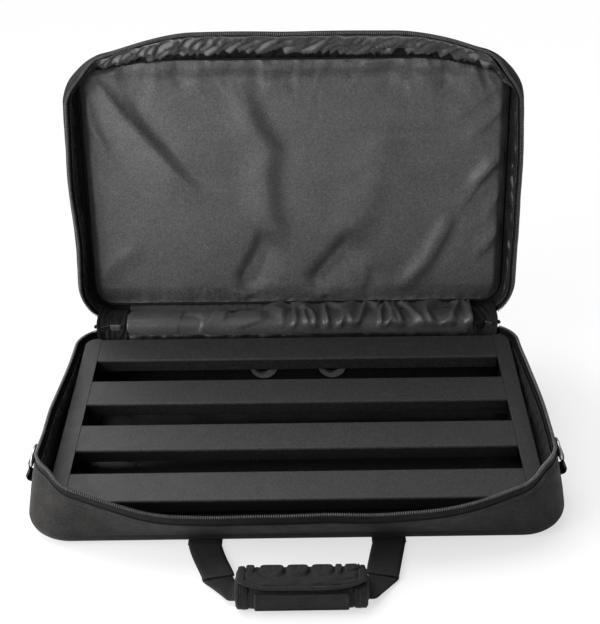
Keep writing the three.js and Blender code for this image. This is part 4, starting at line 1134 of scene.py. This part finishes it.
# The wrap: plain middle, stitched channels and bound ends with fine ribs, places in shares of its half length
wrapLook = {
    "sides": 72, "plainSteps": 40, "fineFrom": 0.76, "fineStep": 0.0068, "fineRows": 36, "under": 0.0006,
    "bore": 0.0048, "channels": ((0.0012, 0.79, 0.010), (0.0007, 0.70, 0.012)), "bound": 0.0007, "boundFrom": 0.80,
    "boundEdge": 0.02, "rib": 0.35, "ribPitch": 0.0021, "taper": 0.0022, "taperFrom": 0.965, "taperReach": 0.035,
    "full": 0.0006, "soft": 0.0007, "softSize": 0.016,
}


def makeWrap():
    half, count = handle["halfLength"], wrapLook["sides"]
    plain = {k / wrapLook["plainSteps"] for k in range(1 - wrapLook["plainSteps"], wrapLook["plainSteps"])}
    fine = {side * (wrapLook["fineFrom"] + k * wrapLook["fineStep"])
            for side, tag in sides for k in range(wrapLook["fineRows"])}
    rows = []
    for stop in sorted(stop for stop in plain | fine if abs(stop) <= 1):
        x, away = half * stop, abs(stop)
        ribs = 1 + wrapLook["rib"] * cos(2 * pi * x / wrapLook["ribPitch"])
        grow = wrapLook["bound"] * smooth((away - wrapLook["boundFrom"]) / wrapLook["boundEdge"]) * ribs
        grow -= wrapLook["taper"] * smooth((away - wrapLook["taperFrom"]) / wrapLook["taperReach"])
        grow += wrapLook["full"] * sin(pi * (stop + 1) / 2) - wrapLook["under"]
        grow -= sum(depth * bell((away - at) / width) for depth, at, width in wrapLook["channels"])
        ring = []
        for angle in [2 * pi * k / count for k in range(count)]:
            soft = wobble((x, cos(angle) * 0.02, sin(angle) * 0.02), wrapLook["softSize"], 4.2)
            p = overGrip(x, angle, grow + wrapLook["soft"] * soft)
            p.z = max(p.z, handle["floorGap"])
            ring.append(p)
        rows.append(ring)
    ends = [gripRing(x, -wrapLook["bore"], count) for x in (-half, half)]
    made = gridMesh("grip_wrap", [ends[0], *rows, ends[1]], wrap=True, loop=True)
    return dress(made, "handle", "grip", "handle_wrap")


# the core's rings: share of its half length and depth under the grip's surface
coreLook = {"sides": 40, "longer": 0.0012, "rings": ((0.93, -0.0054), (0.985, -0.0066), (1, -0.0085))}


def makeCore():
    half = handle["halfLength"] + coreLook["longer"]
    stops = [(-stop, grow) for stop, grow in reversed(coreLook["rings"])] + list(coreLook["rings"])
    rows = [gripRing(half * stop, grow, coreLook["sides"]) for stop, grow in stops]
    dress(solidMesh("grip_core", rows), "handle", "webbing", "handle_core")


# Flap over the wrap and pad in front of it, padded, with start and end as angles round the grip
flapLook = {
    "half": 0.071, "span": 0.042, "start": 64, "end": 138, "curve": 34, "columns": 280, "steps": 44, "thick": 0.0036,
    "round": 0.004, "gap": 0.0006, "loose": 0.0026, "hem": 0.0085, "hemEdge": 0.0008, "hemRise": 0.0009,
    "hemRib": 0.00022, "hemPitch": 0.0019, "groove": 0.0010, "grooveOut": 0.0006, "grooveWidth": 0.0009,
    "bumps": (-0.0570, -0.0330, -0.0045, 0.0230, 0.0410, 0.0560), "bumpAt": 0.0085, "bumpDeep": 0.0070,
    "bumpHalf": (0.0050, 0.0135, 0.0122, 0.0122, 0.0040, 0.0085), "bumpHeight": 0.0022, "bumpGroove": 0.0012,
    "tuft": 0.0009, "tuftSize": 0.0026, "tuftFrom": 0.01, "crease": 0.0018, "creaseSize": 0.006, "thinnest": 0.0006,
    "seamIn": 0.0060, "seamAngle": 12.5, "stitch": {"pitch": 0.0028, "length": 0.0019},
}
padLook = {
    "half": 0.0525, "span": 0.024, "start": 151, "end": 202, "curve": 0, "columns": 90, "steps": 24, "thick": 0.0030,
    "round": 0.0025, "gap": 0.0002, "frame": 0.0034, "frameDrop": 0.0010, "frameEdge": 0.0012, "lowest": 0.0012,
}


def plateRows(look, swell):
    # a padded plate over the wrap: its top from back to front, then its underside
    rows = []
    for share in shares(look["columns"]):
        share = share * 2 - 1
        stop = look["end"] - look["curve"] * share ** 4
        ring = [(v, False) for v in shares(look["steps"])] + [(v, True) for v in reversed(shares(look["steps"]))]
        rows.append([swell(look["half"] * share, radians(mix(look["start"], stop, v)), v, top) for v, top in ring])
    return rows


def edgeRound(x, v, look):
    # 0 at the plate's edges, 1 inside
    away = min(look["half"] - abs(x), v * look["span"], (1 - v) * look["span"])
    return sqrt(1 - (1 - min(max(away / look["round"], 0), 1)) ** 2)


def flapPoint(x, angle, v, top):
    # its front half stands off the wrap a little
    look = flapLook
    low = look["gap"] + look["loose"] * smooth((v - 0.5) / 0.5) * (1 - 0.5 * abs(x / look["half"]))
    if not top:
        return overGrip(x, angle, low)
    edge, down = edgeRound(x, v, look), v * look["span"]
    away = min(look["half"] - abs(x), (1 - v) * look["span"])
    inHem = smooth((look["hem"] - away) / look["hemEdge"])
    rise = look["thick"] * (0.25 + 0.62 * edge)
    rise += inHem * edge * (look["hemRise"] + look["hemRib"] * cos(2 * pi * x / look["hemPitch"]))
    rise -= look["groove"] * bell((away - look["hem"] - look["grooveOut"]) / look["grooveWidth"])
    for middle, half in zip(look["bumps"], look["bumpHalf"]):
        far = ((x - middle) / half) ** 4 + ((down - look["bumpAt"]) / look["bumpDeep"]) ** 4
        rise += look["bumpHeight"] * smooth(1.5 - far * 1.1) * (0.5 + 0.5 * edge)
        rise -= look["bumpGroove"] * bell((far ** 0.25 - 1.12) / 0.10)
        if half > look["tuftFrom"]:
            rise -= look["tuft"] * bell(hypot(x - middle, down - look["bumpAt"]) / look["tuftSize"])
    crease = look["crease"] * wobble((x * 0.35, down, 0), look["creaseSize"], 6.6)
    rise += crease * smooth((down - 0.012) / 0.004) * (1 - inHem)
    return overGrip(x, angle, low + max(rise, look["thinnest"]))


def padPoint(x, angle, v, top):
    look = padLook
    if not top:
        return overGrip(x, angle, look["gap"])
    away = min(look["half"] - abs(x), v * look["span"], (1 - v) * look["span"])
    sunk = look["frameDrop"] * smooth((away - look["frame"]) / look["frameEdge"])
    p = overGrip(x, angle, look["gap"] + 0.0004 + look["thick"] * edgeRound(x, v, look) - sunk)
    p.z = max(p.z, look["lowest"])
    return p


def offGrip(p):
    return (p - Vector((p.x, gripY, gripZ))).normalized()


def gripStitches():
    # two seams at each end of the wrap: share of its half length and rise
    shapes = []
    for side, tag in sides:
        for place, grow in ((0.79, -0.0006), (0.875, 0.0004)):
            x = side * handle["halfLength"] * place
            path = [overGrip(x, radians(angle), grow) for angle in range(150, 236, 3)]
            shapes += stitchLine(path, offGrip, **flapLook["stitch"])
    dress(looseMesh("grip_stitches", shapes), "handle", "grip", finish="thread")


def flapStitches():
    look, path = flapLook, []
    for share in shares(120):
        x = (look["half"] - look["seamIn"]) * (share * 2 - 1)
        out = abs(x / look["half"])
        angle = look["end"] - look["curve"] * out ** 4 - look["seamAngle"]
        loose = look["loose"] * 0.75 * (1 - 0.5 * out)
        path.append(overGrip(x, radians(angle), look["gap"] + look["thick"] * 0.87 + 0.0009 + loose))
    dress(looseMesh("flap_stitches", stitchLine(path, offGrip, **look["stitch"])), "flap", "grip", finish="thread")


for side, tag in sides:
    makeStrap(side, tag)
    makeAnchor(side, tag)
gripWrap = makeWrap()
makeCore()
gripFlap = dress(solidMesh("grip_flap", plateRows(flapLook, flapPoint)), "flap", "grip", "handle_flap")
gripPad = dress(solidMesh("grip_pad", plateRows(padLook, padPoint)), "handle", "grip", "handle_pad")
gripStitches()
flapStitches()
print("handle ready")

# Side tabs and their rings, in a frame whose X points out of the wall
tab = {
    "y": -0.102, "z": 0.062, "width": 0.025, "tail": 0.026, "loop": 0.0046, "layer": 0.0017, "clear": 0.0004,
    "loopSteps": 12, "steps": 130, "across": 14, "stitchHalf": 0.0105, "stitch": {"pitch": 0.0026, "length": 0.0018},
    "wire": 0.0020, "wireSides": 12, "ringHalf": 0.0165, "ringRise": 0.016, "ringCorner": 0.0032,
    # shares of the loop's radius and heights: the webbing's outer layer below the loop, and the seams across it
    "outer": ((0.84, -0.0060), (0.62, -0.0110), (0.95, -0.0160), (1.50, -0.0198), (0.95, -0.0242)),
    "seams": ((0.64, -0.0105), (1.50, -0.0196)),
}
wallLean = atan2(case["footHalfWidth"] - case["rimHalfWidth"],
                 case["zipHeight"] - case["zipReach"] - case["footRound"])
tabCentre = tab["loop"] + tab["clear"]


def tabPlace(side, p):
    # from the tab's own frame to the case's
    wallX = case["footHalfWidth"] - (tab["z"] - case["footRound"]) * tan(wallLean)
    x = p.x * cos(wallLean) - p.z * sin(wallLean)
    z = p.x * sin(wallLean) + p.z * cos(wallLean)
    return Vector((side * (wallX + x), tab["y"] + p.y, tab["z"] + z))


def makeTab(side, tag):
    radius, half = tab["loop"] - tab["layer"] / 2, tab["layer"] / 2
    inner = tab["clear"] + half
    line = [(inner, -tab["tail"]), (inner, -0.019), (inner, -0.012), (inner + half * 0.2, -0.0075),
            (tabCentre - radius * 0.97, -0.0024)]
    for share in shares(tab["loopSteps"]):
        angle = radians(mix(190, -10, share))
        line.append((tabCentre + radius * cos(angle), radius * sin(angle)))
    line += [(tabCentre + radius * share, z) for share, z in tab["outer"]] + [(inner + 2.1 * half, -tab["tail"])]
    spine = curveThrough([Vector((x, 0, z)) for x, z in line], tab["steps"])
    edges = [[tabPlace(side, p + Vector((0, y, 0))) for p in spine] for y in (-tab["width"] / 2, tab["width"] / 2)]
    ups = []
    for k, p in enumerate(spine):
        tangent = heading(spine, k)
        ups.append((tabPlace(side, p + Vector((-tangent.z, 0, tangent.x))) - tabPlace(side, p)).normalized())
    rows = ribbonRows(*edges, ups, tab["layer"], tab["across"])
    dress(solidMesh(f"ring_webbing_{tag}", rows), "base", "webbing", f"ring_tab_{tag}")
    shapes = []
    for share, z in tab["seams"]:
        x = tabCentre + radius * share + half + zipLook["stitchRise"]
        path = [tabPlace(side, Vector((x, y, z))) for y in (-tab["stitchHalf"], tab["stitchHalf"])]
        shapes += stitchLine(path, lambda p: Vector((side, 0, 0)), **tab["stitch"])
    dress(looseMesh(f"ring_stitches_{tag}", shapes), "base", "webbing", finish="thread")


def makeRing(side, tag):
    corner, half = tab["ringCorner"], tab["ringHalf"]
    turn = [(half - corner + corner * sin(angle), corner - corner * cos(angle))
            for angle in [pi / 2 * share for share in shares(6)]]
    bow = [(half * cos(angle), corner + (tab["ringRise"] - corner) * sin(angle))
           for angle in [pi * share for share in shares(40)[1:-1]]]
    line = turn + bow + [(-y, z) for y, z in reversed(turn)]
    line += [(mix(-half + corner, half - corner, share), 0.0) for share in shares(12)[1:-1]]
    rows = []
    for k, (y, z) in enumerate(line):
        before, after = line[k - 1], line[(k + 1) % len(line)]
        tangent = Vector((0, after[0] - before[0], after[1] - before[1])).normalized()
        across = Vector((0, tangent.z, -tangent.y)) * tab["wire"]
        ring = ringAround(Vector((tabCentre, y, z)), across, Vector((tab["wire"], 0, 0)), tab["wireSides"])
        rows.append([tabPlace(side, p) for p in ring])
    dress(gridMesh(f"side_ring_{tag}", rows, wrap=True, loop=True), f"ring_{tag}", "metal", f"d_ring_{tag}")


for side, tag in sides:
    makeTab(side, tag)
    makeRing(side, tag)
print("side rings ready")

# Sewn tabs at the zip's ends
endTab = {"steps": 16, "swell": 0.0006, "swellIn": 0.005, "round": 0.0012, "seam": 0.0016, "seamWidth": 0.0005,
          "seamDepth": 0.0004}


def makeEndTab(side, tag):
    low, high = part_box(f"zip_end_tab_{tag}")
    centreY, halfThick = (low.y + high.y) / 2, (high.y - low.y) / 2

    def spot(front, share, level):
        x, z = mix(low.x, high.x, share), mix(low.z, high.z, level)
        away = min(x - low.x, high.x - x, z - low.z, high.z - z)
        full = sqrt(1 - (1 - min(away / endTab["round"], 1)) ** 2)
        depth = halfThick * (0.25 + 0.75 * full) + endTab["swell"] * smooth(away / endTab["swellIn"])
        depth -= endTab["seamDepth"] * bell((away - endTab["seam"]) / endTab["seamWidth"])
        return Vector((x, centreY + front * depth, z))

    steps = shares(endTab["steps"])
    rows = [[spot(-1, share, level) for share in steps] + [spot(1, share, level) for share in reversed(steps)]
            for level in steps]
    made = solidMesh(f"zip_end_cloth_{tag}", rows)
    # painted shade: the right tab takes the dark binding finish and the left the grey lining, though both are the
    # same cloth; the right one lies in shade
    dress(made, "base", "trim", f"zip_end_tab_{tag}", finish="liningGrey" if side < 0 else "binding")


for side, tag in sides:
    makeEndTab(side, tag)
print("zip ends ready")

# Floor, world and lamps
studio = {
    "floor": (0.93, 0.93, 0.93, 1), "floorHalf": 9.0, "white": 0.63, "ambient": 0.33,
    "sun": 2.55, "sunWidth": radians(48), "sunFrom": (-0.34, 0.36, 0.85),
    "fill": 27.0, "fillSize": 1.2, "fillFrom": (-1.3, -0.7, 0.8), "fillTo": (0, 0.05, 0.2),
}


def makeFloor():
    half = studio["floorHalf"]
    corners = [(-half, -half, 0), (half, -half, 0), (half, half, 0), (-half, half, 0)]
    floor = makeMesh("floor", corners, [(0, 1, 2, 3)])
    made, tree, shader = startMaterial("floor", {"Roughness": 0.9, "Specular IOR Level": 0.1})
    body = addNode(tree, "ShaderNodeTexCoord").outputs["Object"]
    tone = varied(tree, body, 0.6, (0.995, 1.005), 2.0)
    pale = placeGroup(tree, shadeGroup, {"Color": studio["floor"], "Factor": tone, "Wear": 0.0})
    tree.links.new(pale, shader.inputs["Base Color"])
    seen = addNode(tree, "ShaderNodeLightPath")
    glow = addNode(tree, "ShaderNodeEmission", {"Color": (1, 1, 1, 1), "Strength": 1.0})
    own = sums(tree, "MULTIPLY", seen.outputs["Is Camera Ray"], studio["white"])
    blend = addNode(tree, "ShaderNodeMixShader", {0: own, 1: shader.outputs[0], 2: glow.outputs[0]})
    tree.links.new(blend.outputs[0], tree.nodes["Material Output"].inputs["Surface"])
    floor.data.materials.append(made)


def makeWorld():
    scene.world = bpy.data.worlds.new("studio")
    scene.world.use_nodes = True
    sky = scene.world.node_tree
    back = sky.nodes["Background"]
    back.inputs["Color"].default_value = (1, 1, 1, 1)
    path = addNode(sky, "ShaderNodeLightPath").outputs
    direct = sums(sky, "MAXIMUM", path["Is Camera Ray"], path["Is Transmission Ray"])
    sky.links.new(ranged(sky, direct, 0.0, 1.0, studio["ambient"], 1.0), back.inputs["Strength"])


def makeLamps():
    key = bpy.data.lights.new("key", "SUN")
    key.energy = studio["sun"]
    key.angle = studio["sunWidth"]
    placed("key", key).rotation_euler = Vector(studio["sunFrom"]).to_track_quat("Z", "Y").to_euler()
    fill = bpy.data.lights.new("side", "AREA")
    fill.energy = studio["fill"]
    fill.size = studio["fillSize"]
    lamp = placed("side", fill)
    lamp.location = studio["fillFrom"]
    lamp.rotation_euler = (lamp.location - Vector(studio["fillTo"])).to_track_quat("Z", "Y").to_euler()


makeFloor()
makeWorld()
makeLamps()
scene.view_settings.view_transform = "Standard"
print("studio ready")
